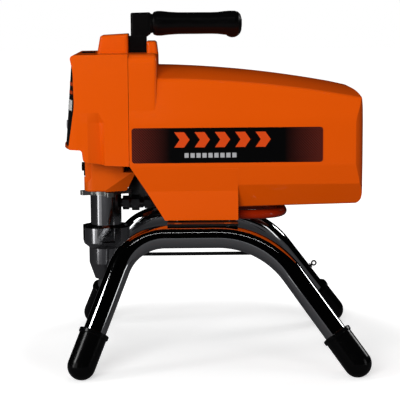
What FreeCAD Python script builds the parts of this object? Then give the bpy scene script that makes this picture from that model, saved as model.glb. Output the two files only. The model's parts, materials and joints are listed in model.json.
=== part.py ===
import FreeCAD, Part
import math
import os

# Airless paint sprayer: a geared motor drives a small piston pump, on a stand of two tube hoops.
# Row frame, millimetres: -X is the pump end, +X the motor end, -Y the near side, +Z up.
# The ground is Z = 0, and the origin is under the middle of the object.

V = FreeCAD.Vector
os.makedirs("parts", exist_ok=True)
NODES = {}

# ---- driving dimensions -------------------------------------------------------------------
TUBE_R = 15.0            # stand tube, 30 mm outside
TUBE_WALL = 1.8
FOOT_X = 177.0           # foot centres, along and across
FOOT_Y = 160.0
BAR_Y = 94.0             # top bars of the two hoops
BAR_Z = 173.0
BOOT_R = 18.2            # rubber boot
FOOT_Z = 17.8            # centre of the boot's round end, a little under its radius: a small flat
COVER_WALL = 2.6         # moulded covers
SEAM_X = -114.8          # plane where the front cover meets the motor cover
SEAM_GAP = 0.6
COVER_Y = 86.0           # half width of the covers
DECK_Z = 411.5           # flat top of the front cover
PUMP_X = -151.1          # pump axis, upright at Y = 0
CRANK_Z = 322.0          # crank axis, along X
CRANK_R = 11.0           # crank throw: the stroke is twice this
ROD_LENGTH = 61.0        # connecting rod between its two eyes
MOTOR_Z = 300.0          # motor axis, along X
FIT = 0.05               # radial clearance of running fits
GAP = 0.4                # clearance between other moving faces
GRIP_Z = 450.0           # centre line of the carrying grip
HOSE_R = 6.2             # whip hose


# ---- small helpers ------------------------------------------------------------------------
def block(x0, x1, y0, y1, z0, z1):
    """Box between two corners."""
    return Part.makeBox(x1 - x0, y1 - y0, z1 - z0, V(x0, y0, z0))


def rod_x(x0, x1, y, z, r):
    """Solid cylinder along X."""
    return Part.makeCylinder(r, x1 - x0, V(x0, y, z), V(1, 0, 0))


def rod_y(y0, y1, x, z, r):
    """Solid cylinder along Y."""
    return Part.makeCylinder(r, y1 - y0, V(x, y0, z), V(0, 1, 0))


def rod_z(z0, z1, x, y, r):
    """Solid cylinder along Z."""
    return Part.makeCylinder(r, z1 - z0, V(x, y, z0), V(0, 0, 1))


def cone_z(z0, z1, x, y, r0, r1):
    """Cone frustum along Z, from radius r0 up to r1."""
    return Part.makeCone(r0, r1, z1 - z0, V(x, y, z0), V(0, 0, 1))


def hexagon(centre, direction, across_flats, length):
    """Hexagonal prism from a centre point along a direction."""
    way = V(*direction)
    way.normalize()
    side = V(0, 0, 1) if abs(way.z) < 0.9 else V(1, 0, 0)
    side = side - way * side.dot(way)
    side.normalize()
    other = way.cross(side)
    radius = across_flats / math.sqrt(3)
    corners = []
    for k in range(7):
        a = math.radians(60 * k)
        corners.append(V(*centre) + side * (radius * math.cos(a)) + other * (radius * math.sin(a)))
    return Part.Face(Part.makePolygon(corners)).extrude(way * length)


def face_of(corners, place):
    """Flat face from corners (a, b, radius): straight sides joined by tangent arcs."""
    pts = [place(a, b) for a, b, r in corners]
    count = len(pts)
    ends = []
    for i in range(count):
        here, back, ahead = pts[i], pts[i - 1], pts[(i + 1) % count]
        radius = corners[i][2]
        if radius == 0:
            ends.append((here, None, here))
            continue
        u = back - here
        w = ahead - here
        u.normalize()
        w.normalize()
        half = u.getAngle(w) / 2
        reach = radius / math.tan(half)
        bisector = u + w
        bisector.normalize()
        middle = here + bisector * (radius / math.sin(half) - radius)
        ends.append((here + u * reach, middle, here + w * reach))
    edges = []
    for i in range(count):
        start, middle, stop = ends[i]
        if middle is not None:
            edges.append(Part.Arc(start, middle, stop).toShape())
        following = ends[(i + 1) % count][0]
        if stop.distanceToPoint(following) > 1e-6:
            edges.append(Part.makeLine(stop, following))
    return Part.Face(Part.Wire(edges))


def prism_x(corners, x0, x1):
    """Outline in (Y, Z) with corner radii, pushed along X."""
    return face_of(corners, lambda a, b: V(x0, a, b)).extrude(V(x1 - x0, 0, 0))


def prism_y(corners, y0, y1):
    """Outline in (X, Z) with corner radii, pushed along Y."""
    return face_of(corners, lambda a, b: V(a, y0, b)).extrude(V(0, y1 - y0, 0))


def prism_z(corners, z0, z1):
    """Outline in (X, Y) with corner radii, pushed along Z."""
    return face_of(corners, lambda a, b: V(a, b, z0)).extrude(V(0, 0, z1 - z0))


def turned(profile, start, axis):
    """Solid of revolution: profile is (distance along the axis, radius) and closes on the axis."""
    way = V(*axis)
    side = V(0, 0, 1) if abs(way.z) < 0.5 else V(1, 0, 0)
    base = V(*start)
    pts = [base + way * a + side * r for a, r in profile]
    pts.insert(0, base + way * profile[0][0])
    pts.append(base + way * profile[-1][0])
    clean = [pts[0]]
    for p in pts[1:]:
        if p.distanceToPoint(clean[-1]) > 1e-6:
            clean.append(p)
    clean.append(clean[0])
    return Part.Face(Part.makePolygon(clean)).revolve(base, way, 360)


def soften(shape, radius, wanted):
    """Fillet of the edges that the test picks."""
    edges = [e for e in shape.Edges if wanted(e)]
    return shape.makeFillet(radius, edges) if edges else shape


def along(edge, axis):
    """True if an edge is straight and runs along X, Y or Z."""
    if edge.Curve.TypeId != "Part::GeomLine":
        return False
    way = edge.Vertexes[-1].Point - edge.Vertexes[0].Point
    return abs(abs({"x": way.x, "y": way.y, "z": way.z}[axis]) - way.Length) < 1e-4


def middle_of(edge):
    """Point halfway along an edge."""
    return edge.valueAt((edge.FirstParameter + edge.LastParameter) / 2)


def mirrored_y(shape):
    """The same shape on the other side of the machine."""
    return shape.mirror(V(0, 0, 0), V(0, 1, 0))


def union(shapes):
    """One solid from several, with the seams between coplanar faces taken out."""
    whole = shapes[0]
    if len(shapes) > 1:
        whole = whole.fuse(shapes[1:])
    return whole.removeSplitter()


def tube_path(points, radius, bends=None):
    """Round bar along straight runs joined by tangent arcs; returns solid, wire and bend radii."""
    pts = [V(*p) for p in points]
    edges = []
    radii = []
    last = pts[0]
    for i in range(1, len(pts) - 1):
        u = pts[i - 1] - pts[i]
        w = pts[i + 1] - pts[i]
        shorter = min(u.Length, w.Length)
        u.normalize()
        w.normalize()
        half_turn = (math.pi - u.getAngle(w)) / 2
        bend = 0.45 * shorter / math.tan(half_turn) if bends is None else bends[i - 1]
        reach = bend * math.tan(half_turn)
        inward = u + w
        inward.normalize()
        start = pts[i] + u * reach
        stop = pts[i] + w * reach
        middle = pts[i] + inward * (bend / math.cos(half_turn) - bend)
        edges.append(Part.LineSegment(last, start).toShape())
        edges.append(Part.Arc(start, middle, stop).toShape())
        radii.append(round(bend, 1))
        last = stop
    edges.append(Part.LineSegment(last, pts[-1]).toShape())
    wire = Part.Wire(edges)
    first = pts[1] - pts[0]
    circle = Part.Wire(Part.makeCircle(radius, pts[0], first))
    return wire.makePipeShell([circle], True, False), wire, radii


def keep(name, shape):
    """Check that a sub-part is sound and store it."""
    solids = shape.Solids
    whole = solids[0] if len(solids) == 1 else Part.makeCompound(solids)
    NODES[name] = whole
    print(name, len(solids), "solid", whole.isValid(), round(whole.Volume / 1000, 2), "cm3")


# ---- stand: two tube hoops, boots, tie rod -----------------------------------------
FRONT_CORNER_X = -114.0      # where leg and top bar centre lines would meet
REAR_CORNER_X = 62.0
FRONT_BEND = 64.0
REAR_BEND = 118.0


def hoop_points():
    """Corners of a hoop's centre line on the near side, foot to foot."""
    return [
        V(-FOOT_X, -FOOT_Y, FOOT_Z),
        V(FRONT_CORNER_X, -BAR_Y, BAR_Z),
        V(REAR_CORNER_X, -BAR_Y, BAR_Z),
        V(FOOT_X, -FOOT_Y, FOOT_Z),
    ]


def leg_way(end):
    """Unit vector up a near leg; end is 'front' or 'rear'."""
    pts = hoop_points()
    way = pts[1] - pts[0] if end == "front" else pts[2] - pts[3]
    way.normalize()
    return way


def leg_point(end, z):
    """Point of a near leg's centre line at a height."""
    foot = hoop_points()[0] if end == "front" else hoop_points()[3]
    way = leg_way(end)
    return foot + way * ((z - foot.z) / way.z)


LEG_INSET = 4.0              # the tube ends this far up from the boot's round end


def hoop_near():
    """Near tube hoop of the stand, with holes for the pan bolts."""
    pts = hoop_points()
    pts[0] = pts[0] + leg_way("front") * LEG_INSET
    pts[3] = pts[3] + leg_way("rear") * LEG_INSET
    bends = [FRONT_BEND, REAR_BEND]
    solid, wire, radii = tube_path([(p.x, p.y, p.z) for p in pts], TUBE_R, bends)
    bore = tube_path([(p.x, p.y, p.z) for p in pts], TUBE_R - TUBE_WALL, bends)[0]
    hoop = solid.cut(bore)
    for x in PAN_BOLT_X:
        hoop = hoop.cut(rod_z(BAR_Z, BAR_Z + TUBE_R + 1, x, -BAR_Y, PAN_BOLT_R))
    return hoop


def hoop_far():
    """The near hoop mirrored, with holes for the tie rod and the clip screw."""
    centre, out = clip_frame()
    hole = Part.makeCylinder(CLIP_R, 12.0, centre + out * (TUBE_R - 6), out)
    return mirrored_y(hoop_near()).cut(tie_rod()).cut(hole)


BOOT_LENGTH = 47.0           # along the leg, from the foot centre
BOOT_LIP = 1.6


def boot_near(end):
    """Rubber boot on a near leg: round end, sleeve and a thicker lip, with a socket for the tube."""
    foot = hoop_points()[0] if end == "front" else hoop_points()[3]
    way = leg_way(end)
    sleeve = Part.makeCylinder(BOOT_R, BOOT_LENGTH, foot, way)
    lip = Part.makeCylinder(BOOT_R + BOOT_LIP, 6.0, foot + way * (BOOT_LENGTH - 6.0), way)
    lip = soften(lip, 1.2, lambda e: e.Curve.TypeId == "Part::GeomCircle")
    boot = union([Part.makeSphere(BOOT_R, foot), sleeve, lip])
    boot = boot.cut(Part.makeCylinder(TUBE_R, BOOT_LENGTH, foot + way * LEG_INSET, way))
    return boot.common(block(-300, 300, -300, 300, 0, 200))


TIE_R = 2.6
TIE_Z = 112.0
CLIP_Z = 81.0                # height of the small screw on the rear leg
CLIP_R = 2.0


def tie_rod():
    """Thin brace between the legs of the far hoop, with its ends inside the tubes."""
    front = leg_point("front", TIE_Z)
    rear = leg_point("rear", TIE_Z)
    return rod_x(front.x, rear.x, -front.y, TIE_Z, TIE_R)


def clip_frame():
    """Centre on the far rear leg, and the way out of it, up and to the rear."""
    p = leg_point("rear", CLIP_Z)
    way = leg_way("rear")
    out = V(0.8, 0, 0.6)
    out = out - way * out.dot(way)
    out.y = 0
    out.normalize()
    return V(p.x, -p.y, p.z), out


def clip_screw():
    """Screw with a small eye on the far rear leg."""
    centre, out = clip_frame()
    shank = Part.makeCylinder(CLIP_R, 8.0, centre + out * (TUBE_R - 3), out)
    washer = Part.makeCylinder(4.2, 1.2, centre + out * (TUBE_R + 0.6), out)
    eye = Part.makeTorus(3.2, 1.2, centre + out * (TUBE_R + 7.0), V(0, 1, 0))
    return union([shank, washer, eye])


# ---- pan: folded sheet that lies on both top bars and carries the drive --------------------------
PAN_X0, PAN_X1 = -66.0, 27.0
PAN_T = 3.0
PAN_FLOOR_Z = 178.0
PAN_WALL_Y = 76.0
PAN_BOLT_X = (-52.0, 13.0)
PAN_BOLT_R = 2.5
PAN_HEAD_R = 5.0             # countersunk heads, flush with the pan
POST_X = (-50.0, 11.0)       # uprights of the motor cradle
POST_R = 6.0


def pan():
    """Folded steel pan that carries the motor cradle and rests on both bars."""
    top = BAR_Z + TUBE_R
    edge_y = BAR_Y + 6
    outer = prism_x([
        (-edge_y, top, 0), (-PAN_WALL_Y, top, 0), (-PAN_WALL_Y, PAN_FLOOR_Z, 0),
        (PAN_WALL_Y, PAN_FLOOR_Z, 0), (PAN_WALL_Y, top, 0), (edge_y, top, 0),
        (edge_y, top + PAN_T, 0), (PAN_WALL_Y - PAN_T, top + PAN_T, 2),
        (PAN_WALL_Y - PAN_T, PAN_FLOOR_Z + PAN_T, 0), (-PAN_WALL_Y + PAN_T, PAN_FLOOR_Z + PAN_T, 0),
        (-PAN_WALL_Y + PAN_T, top + PAN_T, 2), (-edge_y, top + PAN_T, 0),
    ], PAN_X0, PAN_X1)
    sheet = outer
    for hoop_side in (-1, 1):
        sheet = sheet.cut(rod_x(PAN_X0 - 1, PAN_X1 + 1, hoop_side * BAR_Y, BAR_Z, TUBE_R))
        for x in PAN_BOLT_X:
            sheet = sheet.cut(rod_z(top - 2, top + PAN_T + 1, x, hoop_side * BAR_Y, PAN_BOLT_R))
            sheet = sheet.cut(cone_z(top, top + PAN_T, x, hoop_side * BAR_Y, PAN_BOLT_R, PAN_HEAD_R))
        for x in POST_X:
            sheet = sheet.cut(rod_z(PAN_FLOOR_Z - 1, PAN_FLOOR_Z + PAN_T + 1, x, hoop_side * CRADLE_Y, 3.0))
    return sheet


def pan_bolts():
    """Four countersunk screws through the pan's flanges into the top bars."""
    top = BAR_Z + TUBE_R
    bolts = []
    for side in (-1, 1):
        for x in PAN_BOLT_X:
            shank = rod_z(BAR_Z + 4, top + PAN_T, x, side * BAR_Y, PAN_BOLT_R)
            head = cone_z(top, top + PAN_T, x, side * BAR_Y, PAN_BOLT_R, PAN_HEAD_R)
            bolts.append(union([shank, head]))
    return Part.makeCompound(bolts)


# ---- motor cradle ----------------------------------------------------------------------------------
CRADLE_Y = 62.0
CAN_R = 52.0
CAN_X0, CAN_X1 = -84.0, 96.0


def cradle():
    """Cast saddle under the motor: a curved bed on four legs that stand on the pan."""
    bed = block(POST_X[0] - 10, POST_X[1] + 10, -CRADLE_Y - 8, CRADLE_Y + 8, 232, 268)
    bed = bed.cut(rod_x(POST_X[0] - 20, POST_X[1] + 20, 0, MOTOR_Z, CAN_R))
    bed = bed.cut(block(POST_X[0] + 8, POST_X[1] - 8, -CRADLE_Y + 14, CRADLE_Y - 14, 231, 270))
    parts = [bed]
    for side in (-1, 1):
        for x in POST_X:
            parts.append(rod_z(PAN_FLOOR_Z + PAN_T, 234, x, side * CRADLE_Y, POST_R))
    casting = union(parts)
    for side in (-1, 1):
        for x in POST_X:
            casting = casting.cut(rod_z(PAN_FLOOR_Z, PAN_FLOOR_Z + 18, x, side * CRADLE_Y, 3.0))
    return casting


def cradle_screws():
    """Screws that hold the cradle posts to the pan."""
    screws = []
    for side in (-1, 1):
        for x in POST_X:
            shank = rod_z(PAN_FLOOR_Z, PAN_FLOOR_Z + 17, x, side * CRADLE_Y, 3.0)
            head = hexagon((x, side * CRADLE_Y, PAN_FLOOR_Z), (0, 0, -1), 10.0, 4.0)
            screws.append(union([shank, head]))
    return Part.makeCompound(screws)


# ---- motor cover -----------------------------------------------------------------------------------
COVER_REAR_X = 197.5
COVER_BOTTOM_Z = 211.0
BAND_LOW_Z = 266.0           # the upright band of the side, where the badge sits
BAND_HIGH_Z = 326.0
TUCK_Z = 240.0
TUCK_SLOPE = 0.214            # how fast the side draws in below the band
SKIRT_REAR_X = 27.5
SKIRT_BOTTOM_Z = 193.0
SKIRT_SHOULDER_Z = 231.7     # the skirt carries the tuck on down to here, then drops upright
SKIRT_FOOT_X = -68.5
COLLAR_X = -77.8
CROWN_X = -112.0            # where the roof is highest


def crown(x):
    """Height of the cover's roof along its middle: it falls away towards the rear."""
    return 394.0 - 3.47e-4 * (x - CROWN_X) ** 2


def bottom(x):
    """Height of the cover's lower face: it falls a little towards the front."""
    return COVER_BOTTOM_Z - 0.02 * (180.0 - x)


def section(x, inset):
    """Cross-section of the motor cover at a station."""
    drop = 13.5 - 0.018 * (x + 20.0)
    taper = 3.0 * max(0.0, (x + 20.0) / 222.0)
    crease = crown(x) - drop - 0.7 * inset
    roof_y = COVER_Y - 6.0 - taper - inset
    side_y = COVER_Y + 2.0 - taper - inset
    tuck_y = side_y - TUCK_SLOPE * (BAND_LOW_Z - TUCK_Z)
    foot_y = 64.0 - taper - inset
    apex = crown(x) - inset + drop
    run = math.hypot(roof_y, apex - crease)
    half_turn = math.atan2(apex - crease, roof_y)
    arc = 0.86 * run / math.tan(half_turn)
    low = bottom(x) + inset
    corners = [
        (-foot_y, low, 4), (-tuck_y, TUCK_Z, 6), (-side_y, BAND_LOW_Z, 20), (-side_y, BAND_HIGH_Z, 60),
        (-roof_y, crease, 6), (0, apex, arc), (roof_y, crease, 6), (side_y, BAND_HIGH_Z, 60),
        (side_y, BAND_LOW_Z, 20), (tuck_y, TUCK_Z, 6), (foot_y, low, 4),
    ]
    return face_of(corners, lambda a, b: V(x, a, b)).OuterWire


def main_body(inset):
    """Long rounded body, trimmed to a bowed rear wall with round corners."""
    stations = [SEAM_X - 1, -60.0, 0.0, 60.0, 110.0, 150.0, 180.0, 206.0]
    body = Part.makeLoft([section(x, inset) for x in stations], True, False)
    rear = COVER_REAR_X - inset
    bow = 12.0
    half_turn = math.atan2(bow, COVER_Y)
    bow_radius = 0.62 * COVER_Y / math.tan(half_turn)
    wide = COVER_Y + 3 - inset
    corner_r = 24.0 - inset
    plan = prism_z([
        (SEAM_X - 2, -wide, 0), (rear - bow + 4, -wide, corner_r), (rear + 5, 0, bow_radius),
        (rear - bow + 4, wide, corner_r), (SEAM_X - 2, wide, 0),
    ], 150, 450)
    low = bottom(rear) + inset
    side = prism_y([
        (SEAM_X - 2, 150, 0), (rear - 30, low - 1.5, 0), (rear - 6.5, low - 0.2, 11), (rear, 300, 240),
        (rear - 8, crown(rear) - inset + 1, 17), (150, crown(150) - inset + 1.2, 0), (SEAM_X - 2, 430, 0),
    ], -120, 120)
    return body.common(plan).common(side)


def collar(inset):
    """Raised front part of the motor cover, level with the front cover's deck."""
    ring = prism_x([
        (-COVER_Y + inset, BAND_LOW_Z, 0), (-COVER_Y + inset, DECK_Z - inset, 12 - inset),
        (COVER_Y - inset, DECK_Z - inset, 12 - inset), (COVER_Y - inset, BAND_LOW_Z, 0),
    ], SEAM_X - 1, COLLAR_X - inset)
    return soften(ring, 5.0, lambda e: along(e, "y") and middle_of(e).x > -90 and middle_of(e).z > 400)


def skirt_wall(inset):
    """Half width of the skirt's upright part."""
    return COVER_Y + 2.0 - TUCK_SLOPE * (BAND_LOW_Z - SKIRT_SHOULDER_Z) - inset


def skirt(inset):
    """Lower part of the cover's sides, in front: it hides the pan and the hose."""
    outline = prism_y([
        (SEAM_X - 1, 268, 0), (SKIRT_FOOT_X, SKIRT_BOTTOM_Z - 1, 0),
        (SKIRT_REAR_X, SKIRT_BOTTOM_Z - 1, 0), (SKIRT_REAR_X, 268, 0),
    ], -COVER_Y - 2, COVER_Y + 2)
    wall = skirt_wall(inset)
    top_z = BAND_LOW_Z - 4.0
    top = wall + TUCK_SLOPE * (top_z - SKIRT_SHOULDER_Z) - 0.15
    across = prism_x([
        (-wall, SKIRT_BOTTOM_Z - 2, 0), (-wall, SKIRT_SHOULDER_Z, 0), (-top, top_z, 0),
        (top, top_z, 0), (wall, SKIRT_SHOULDER_Z, 0), (wall, SKIRT_BOTTOM_Z - 2, 0),
    ], SEAM_X - 2, SKIRT_REAR_X + 1)
    return outline.common(across)


def motor_cover():
    """Moulded cover over motor and gears: body, collar and skirt as one thin shell."""
    t = COVER_WALL
    outer = union([main_body(0), collar(0), skirt(0)])
    shell = outer.cut(main_body(t)).cut(collar(t)).cut(skirt(t))
    shell = shell.cut(block(SEAM_X - 20, SEAM_X, -120, 120, 100, 500))
    # The skirt has side walls only, and the floor is open under the motor.
    inner_y = skirt_wall(t)
    shell = shell.cut(block(SEAM_X - 10, SKIRT_REAR_X, -inner_y, inner_y, 180, 236))
    shell = shell.cut(prism_y([
        (SEAM_X - 30, 267.5, 0), (SEAM_X - 1, 267.5, 0), (SKIRT_FOOT_X, SKIRT_BOTTOM_Z - 1, 0),
        (SEAM_X - 30, SKIRT_BOTTOM_Z - 1, 0),
    ], -100, 100))
    shell = shell.cut(block(SKIRT_REAR_X + 9, 168, -56, 56, 200, 225))
    shell = shell.cut(block(SEAM_X - 10, SKIRT_REAR_X + 5, -90, 90, 180, SKIRT_BOTTOM_Z))
    # Rear louvres.
    for k in range(8):
        z = 246.0 + 11.0 * k
        slot = prism_x([
            (-48, z, 2.4), (48, z, 2.4), (48, z + 5, 2.4), (-48, z + 5, 2.4),
        ], 180, 215)
        shell = shell.cut(slot)
    # Seats of the handle post, the pedestal behind it and the cover screws.
    shell = shell.cut(block(POST_BOX[0], POST_BOX[1], -POST_Y, POST_Y, DECK_Z - 12, DECK_Z + 30))
    shell = union([shell, pedestal(POST_BOX[1], COLLAR_X + 0.7, 426.7)])
    for x, z in COVER_SCREWS:
        shell = shell.cut(rod_y(0, 100, x, z, SCREW_R))
    shell = shell.cut(rod_x(180, 215, GLAND_Y, GLAND_Z, GLAND_R))
    shell = shell.cut(rod_y(70, 100, FILTER_X, GUN_Z, 7.0))
    return shell.cut(rod_y(70, 100, PRIME_X, PRIME_Z, 9.0))


POST_BOX = (-116.7, -92.3)   # foot of the handle post, along X
POST_Y = 15.0
PEDESTAL_Y = 24.0
COVER_SCREWS = ((-92.0, 250.0), (18.0, 222.0))
SCREW_R = 2.0


def pedestal(x0, x1, top):
    """Raised moulding around the handle's foot."""
    shape = prism_y([
        (x0, DECK_Z - 1.5, 0), (x0, top, 1.5), (x1 - 2, top, 4), (x1, DECK_Z - 1.5, 0),
    ], -PEDESTAL_Y, PEDESTAL_Y)
    return soften(shape, 5.0, lambda e: along(e, "x") and middle_of(e).z > top - 1)


def cover_screws():
    """Cross-head screws through the far side wall of the cover."""
    screws = []
    for x, z in COVER_SCREWS:
        wall = COVER_Y + 0.5 if z > 240 else COVER_Y - 3.5
        shank = rod_y(wall - 9, wall, x, z, SCREW_R)
        head = rod_y(wall, wall + 2.0, x, z, 4.0)
        head = soften(head, 1.2, lambda e: e.Curve.TypeId == "Part::GeomCircle" and middle_of(e).y > wall + 1)
        cross = block(x - 2.4, x + 2.4, wall + 1.1, wall + 3, z - 0.5, z + 0.5)
        upright = block(x - 0.5, x + 0.5, wall + 1.1, wall + 3, z - 2.4, z + 2.4)
        screws.append(union([shank, head]).cut(cross).cut(upright))
    return Part.makeCompound(screws)


BADGE_X0, BADGE_X1 = -111.5, 138.4
BADGE_Z0, BADGE_Z1 = 270.0, 316.0


def badge_near():
    """Plate on the side of the motor cover, with round corners; it follows the flat band."""
    body = main_body(-0.8)
    plate = body.common(prism_y([
        (BADGE_X0, BADGE_Z0, 4), (BADGE_X1, BADGE_Z0, 4), (BADGE_X1, BADGE_Z1, 4), (BADGE_X0, BADGE_Z1, 4),
    ], -100, -60))
    return plate.cut(main_body(0)).cut(collar(0))


# ---- front cover, panel, controls --------------------------------------------------------------------
FRONT_X = -186.0             # front wall
PANEL_BACK_X = -181.1        # open back of the panel, against the circuit board
PANEL_LOW_Z, PANEL_TOP_Z = 290.0, 405.0
PANEL_Y = 66.0
FRONT_LOW_Z = 265.5          # lower edge of the front cover at the seam


def front_profile(inset):
    """Side outline of the front cover."""
    rear = SEAM_X - SEAM_GAP
    i = inset
    return [
        (rear, FRONT_LOW_Z + i, 0), (rear, DECK_Z - i, 0), (-191.5 + i, DECK_Z - 0.5 - i, 5),
        (FRONT_X - 1 + i, 390, 40),
        (FRONT_X + i, 345, 60), (-194 + i, 292 + i, 4), (-194 + i, 288 + i, 2), (-177.2 + i, 287 + i, 4),
        (-175.6 + i, 272 + i, 5), (-147, 267 + i, 0),
    ]


def front_body(inset):
    """Block of the front cover, with the long upper edges rounded."""
    wide = COVER_Y - inset
    body = prism_y(front_profile(inset), -wide, wide)
    edge_r = 11.0 - inset
    return soften(body, edge_r, lambda e: along(e, "x") and middle_of(e).z > 405 and abs(middle_of(e).y) > 80)


def panel_solid(grow, low, high):
    """Bowed panel block: an arc in plan that leans forwards at the bottom."""
    def plan(z):
        lean = (PANEL_TOP_Z - z) / (PANEL_TOP_Z - PANEL_LOW_Z)
        nose = -193.6 - 9.5 * lean - grow
        root = FRONT_X - 1.0 - 6.0 * lean ** 2
        y = PANEL_Y + grow
        arc = Part.Arc(V(root, -y, z), V(nose, 0, z), V(root, y, z)).toShape()
        back = PANEL_BACK_X + 5.0
        return Part.Wire([
            arc, Part.makeLine(V(root, y, z), V(back, y, z)), Part.makeLine(V(back, y, z), V(back, -y, z)),
            Part.makeLine(V(back, -y, z), V(root, -y, z)),
        ])
    steps = 4
    return Part.makeLoft([plan(low + (high - low) * k / steps) for k in range(steps + 1)], True, False)


def front_cover():
    """Moulded front cover: open at the seam and over the casting, with a seat for the panel."""
    t = COVER_WALL
    body = front_body(0)
    # Orange lip that carries the panel's foot, and the scoop in each side.
    lip = panel_solid(1.6, PANEL_LOW_Z - 4, PANEL_LOW_Z)
    body = union([body, lip])
    body = body.cut(side_scoop(0)).cut(mirrored_y(side_scoop(0)))
    hollow = front_body(t).cut(side_scoop(t)).cut(mirrored_y(side_scoop(t)))
    shell = body.cut(hollow)
    shell = shell.cut(block(
        SEAM_X - SEAM_GAP - t - 1, SEAM_X, -COVER_Y + t, COVER_Y - t, FRONT_LOW_Z + t, DECK_Z - t))
    shell = shell.cut(panel_solid(0, PANEL_LOW_Z, PANEL_TOP_Z))
    # Opening for the drive casting and the far-side knob, switch seat, pedestal.
    shell = shell.cut(block(-180, SEAM_X, -CASE_Y - 1, CASE_Y + 1, 262, 272 + t))
    shell = shell.cut(block(CASE_X1 - 4, SEAM_X, 20, 77, 262, 272 + t))
    shell = union([shell, pedestal_front()])
    shell = shell.cut(block(POST_BOX[0], POST_BOX[1], -POST_Y, POST_Y, DECK_Z - 12, DECK_Z + 30))
    shell = shell.cut(block(SWITCH_X - 7, SWITCH_X + 7, -10, 10, DECK_Z - 5, DECK_Z + 5))
    shell = shell.cut(rod_y(70, 100, KNOB_X, KNOB_Z, 5.0))
    return shell


SCOOP_EDGE_X = -146.8        # outer edge of the scoop's slanted wall
SCOOP_START_X = -184.0       # the floor leaves the side here, by the panel
SCOOP_DIP_X = -169.0         # and falls away faster from here
SCOOP_TOP_Z = 336.4
SCOOP_SHOULDER_Z = 322.8
SCOOP_DEPTH = 9.5


def side_scoop(inset):
    """Scoop in the near side, in front: shallow by the panel, deepest against its slanted wall."""
    side = -COVER_Y + inset
    out = -COVER_Y - 6
    top_edge = SCOOP_EDGE_X - 8.0
    # Height, outer edge and inner edge of the slanted wall, depth of the floor at the wall.
    stations = [
        (250.0, SCOOP_EDGE_X, SCOOP_EDGE_X - 4.4, SCOOP_DEPTH),
        (SCOOP_SHOULDER_Z, SCOOP_EDGE_X, SCOOP_EDGE_X - 6.8, 0.6 * SCOOP_DEPTH),
        (SCOOP_TOP_Z, top_edge, top_edge - 0.1, 0.1),
    ]
    wires = []
    for z, outer, inner, depth in stations:
        corners = [
            (outer, out), (outer, side), (inner, side + depth), (SCOOP_DIP_X, side + 0.15 * depth),
            (SCOOP_START_X, side), (-206.0, side - 2), (-206.0, out),
        ]
        points = [V(x + inset, y, z + inset) for x, y in corners]
        wires.append(Part.makePolygon(points + [points[0]]))
    return Part.makeLoft(wires, True, True)


def pedestal_front():
    """Raised moulding in front of the handle's foot."""
    top = 436.7
    x0, x1 = -158.6, POST_BOX[0]
    shape = prism_y([
        (x0, DECK_Z - 1.5, 0), (x0 + 4.6, top - 2, 4), (x1, top, 1.5), (x1, DECK_Z - 1.5, 0),
    ], -PEDESTAL_Y, PEDESTAL_Y)
    return soften(shape, 5.0, lambda e: middle_of(e).z > top - 2.5 and abs(middle_of(e).y) > PEDESTAL_Y - 1
                  and e.Length > 20)


DISPLAY_Z = (335.0, 357.0)
BUTTON_Y = (-18.0, 18.0)
BUTTON_Z = 316.0
BUTTON_R = 6.0


def front_panel():
    """Thin bowed panel with openings for the display and the two buttons."""
    solid = panel_solid(0, PANEL_LOW_Z, PANEL_TOP_Z)
    hollow = panel_solid(-2.4, PANEL_LOW_Z + 2.4, PANEL_TOP_Z - 2.4)
    shell = solid.cut(hollow).cut(block(PANEL_BACK_X, PANEL_BACK_X + 9, -90, 90, 200, 450))
    shell = shell.cut(block(-215, -150, -24, 24, *DISPLAY_Z))
    for y in BUTTON_Y:
        shell = shell.cut(rod_x(-215, -150, y, BUTTON_Z, BUTTON_R + GAP))
    return shell


def display_window():
    """Clear window of the display, set in the panel."""
    window = panel_solid(0.3, DISPLAY_Z[0], DISPLAY_Z[1]).common(block(-215, -150, -24, 24, *DISPLAY_Z))
    return window.cut(panel_solid(-2.0, DISPLAY_Z[0] - 5, DISPLAY_Z[1] + 5))


def panel_button(y):
    """Round key with a flange behind the panel."""
    nose = -202.0 + abs(y) * 0.05
    back = PANEL_BACK_X - 8.5
    key = rod_x(nose, back, y, BUTTON_Z, BUTTON_R)
    key = soften(key, 1.0, lambda e: e.Curve.TypeId == "Part::GeomCircle" and middle_of(e).x < nose + 0.5)
    return union([key, rod_x(back - 2.0, back, y, BUTTON_Z, BUTTON_R + 2)])


SWITCH_X = -171.0


def switch_frame():
    """Bezel of the rocker switch, let into the deck."""
    outer = prism_z([
        (SWITCH_X - 9, -12, 2), (SWITCH_X + 9, -12, 2), (SWITCH_X + 9, 12, 2), (SWITCH_X - 9, 12, 2),
    ], DECK_Z, DECK_Z + 1.2)
    tub = block(SWITCH_X - 7, SWITCH_X + 7, -10, 10, DECK_Z - 16, DECK_Z)
    frame = union([outer, tub])
    frame = frame.cut(block(SWITCH_X - 5.5, SWITCH_X + 5.5, -8.5, 8.5, DECK_Z - 14, DECK_Z + 2))
    return frame.cut(rod_x(SWITCH_X - 6.8, SWITCH_X + 6.8, 0, DECK_Z - 3, 1.0 + FIT))


def switch_rocker():
    """Rocker on a cross pin, tilted for off."""
    z = DECK_Z
    body = prism_x([
        (-6.8, z - 6, 1), (6.8, z - 6, 1), (7.0, z + 0.6, 0.6), (0, z - 0.4, 20), (-7.0, z + 2.2, 0.6),
    ], SWITCH_X - 5.0, SWITCH_X + 5.0)
    pin = rod_x(SWITCH_X - 6.5, SWITCH_X + 6.5, 0, z - 3, 1.0)
    return union([body, pin])


KNOB_X, KNOB_Z = -140.0, 372.0


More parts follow.
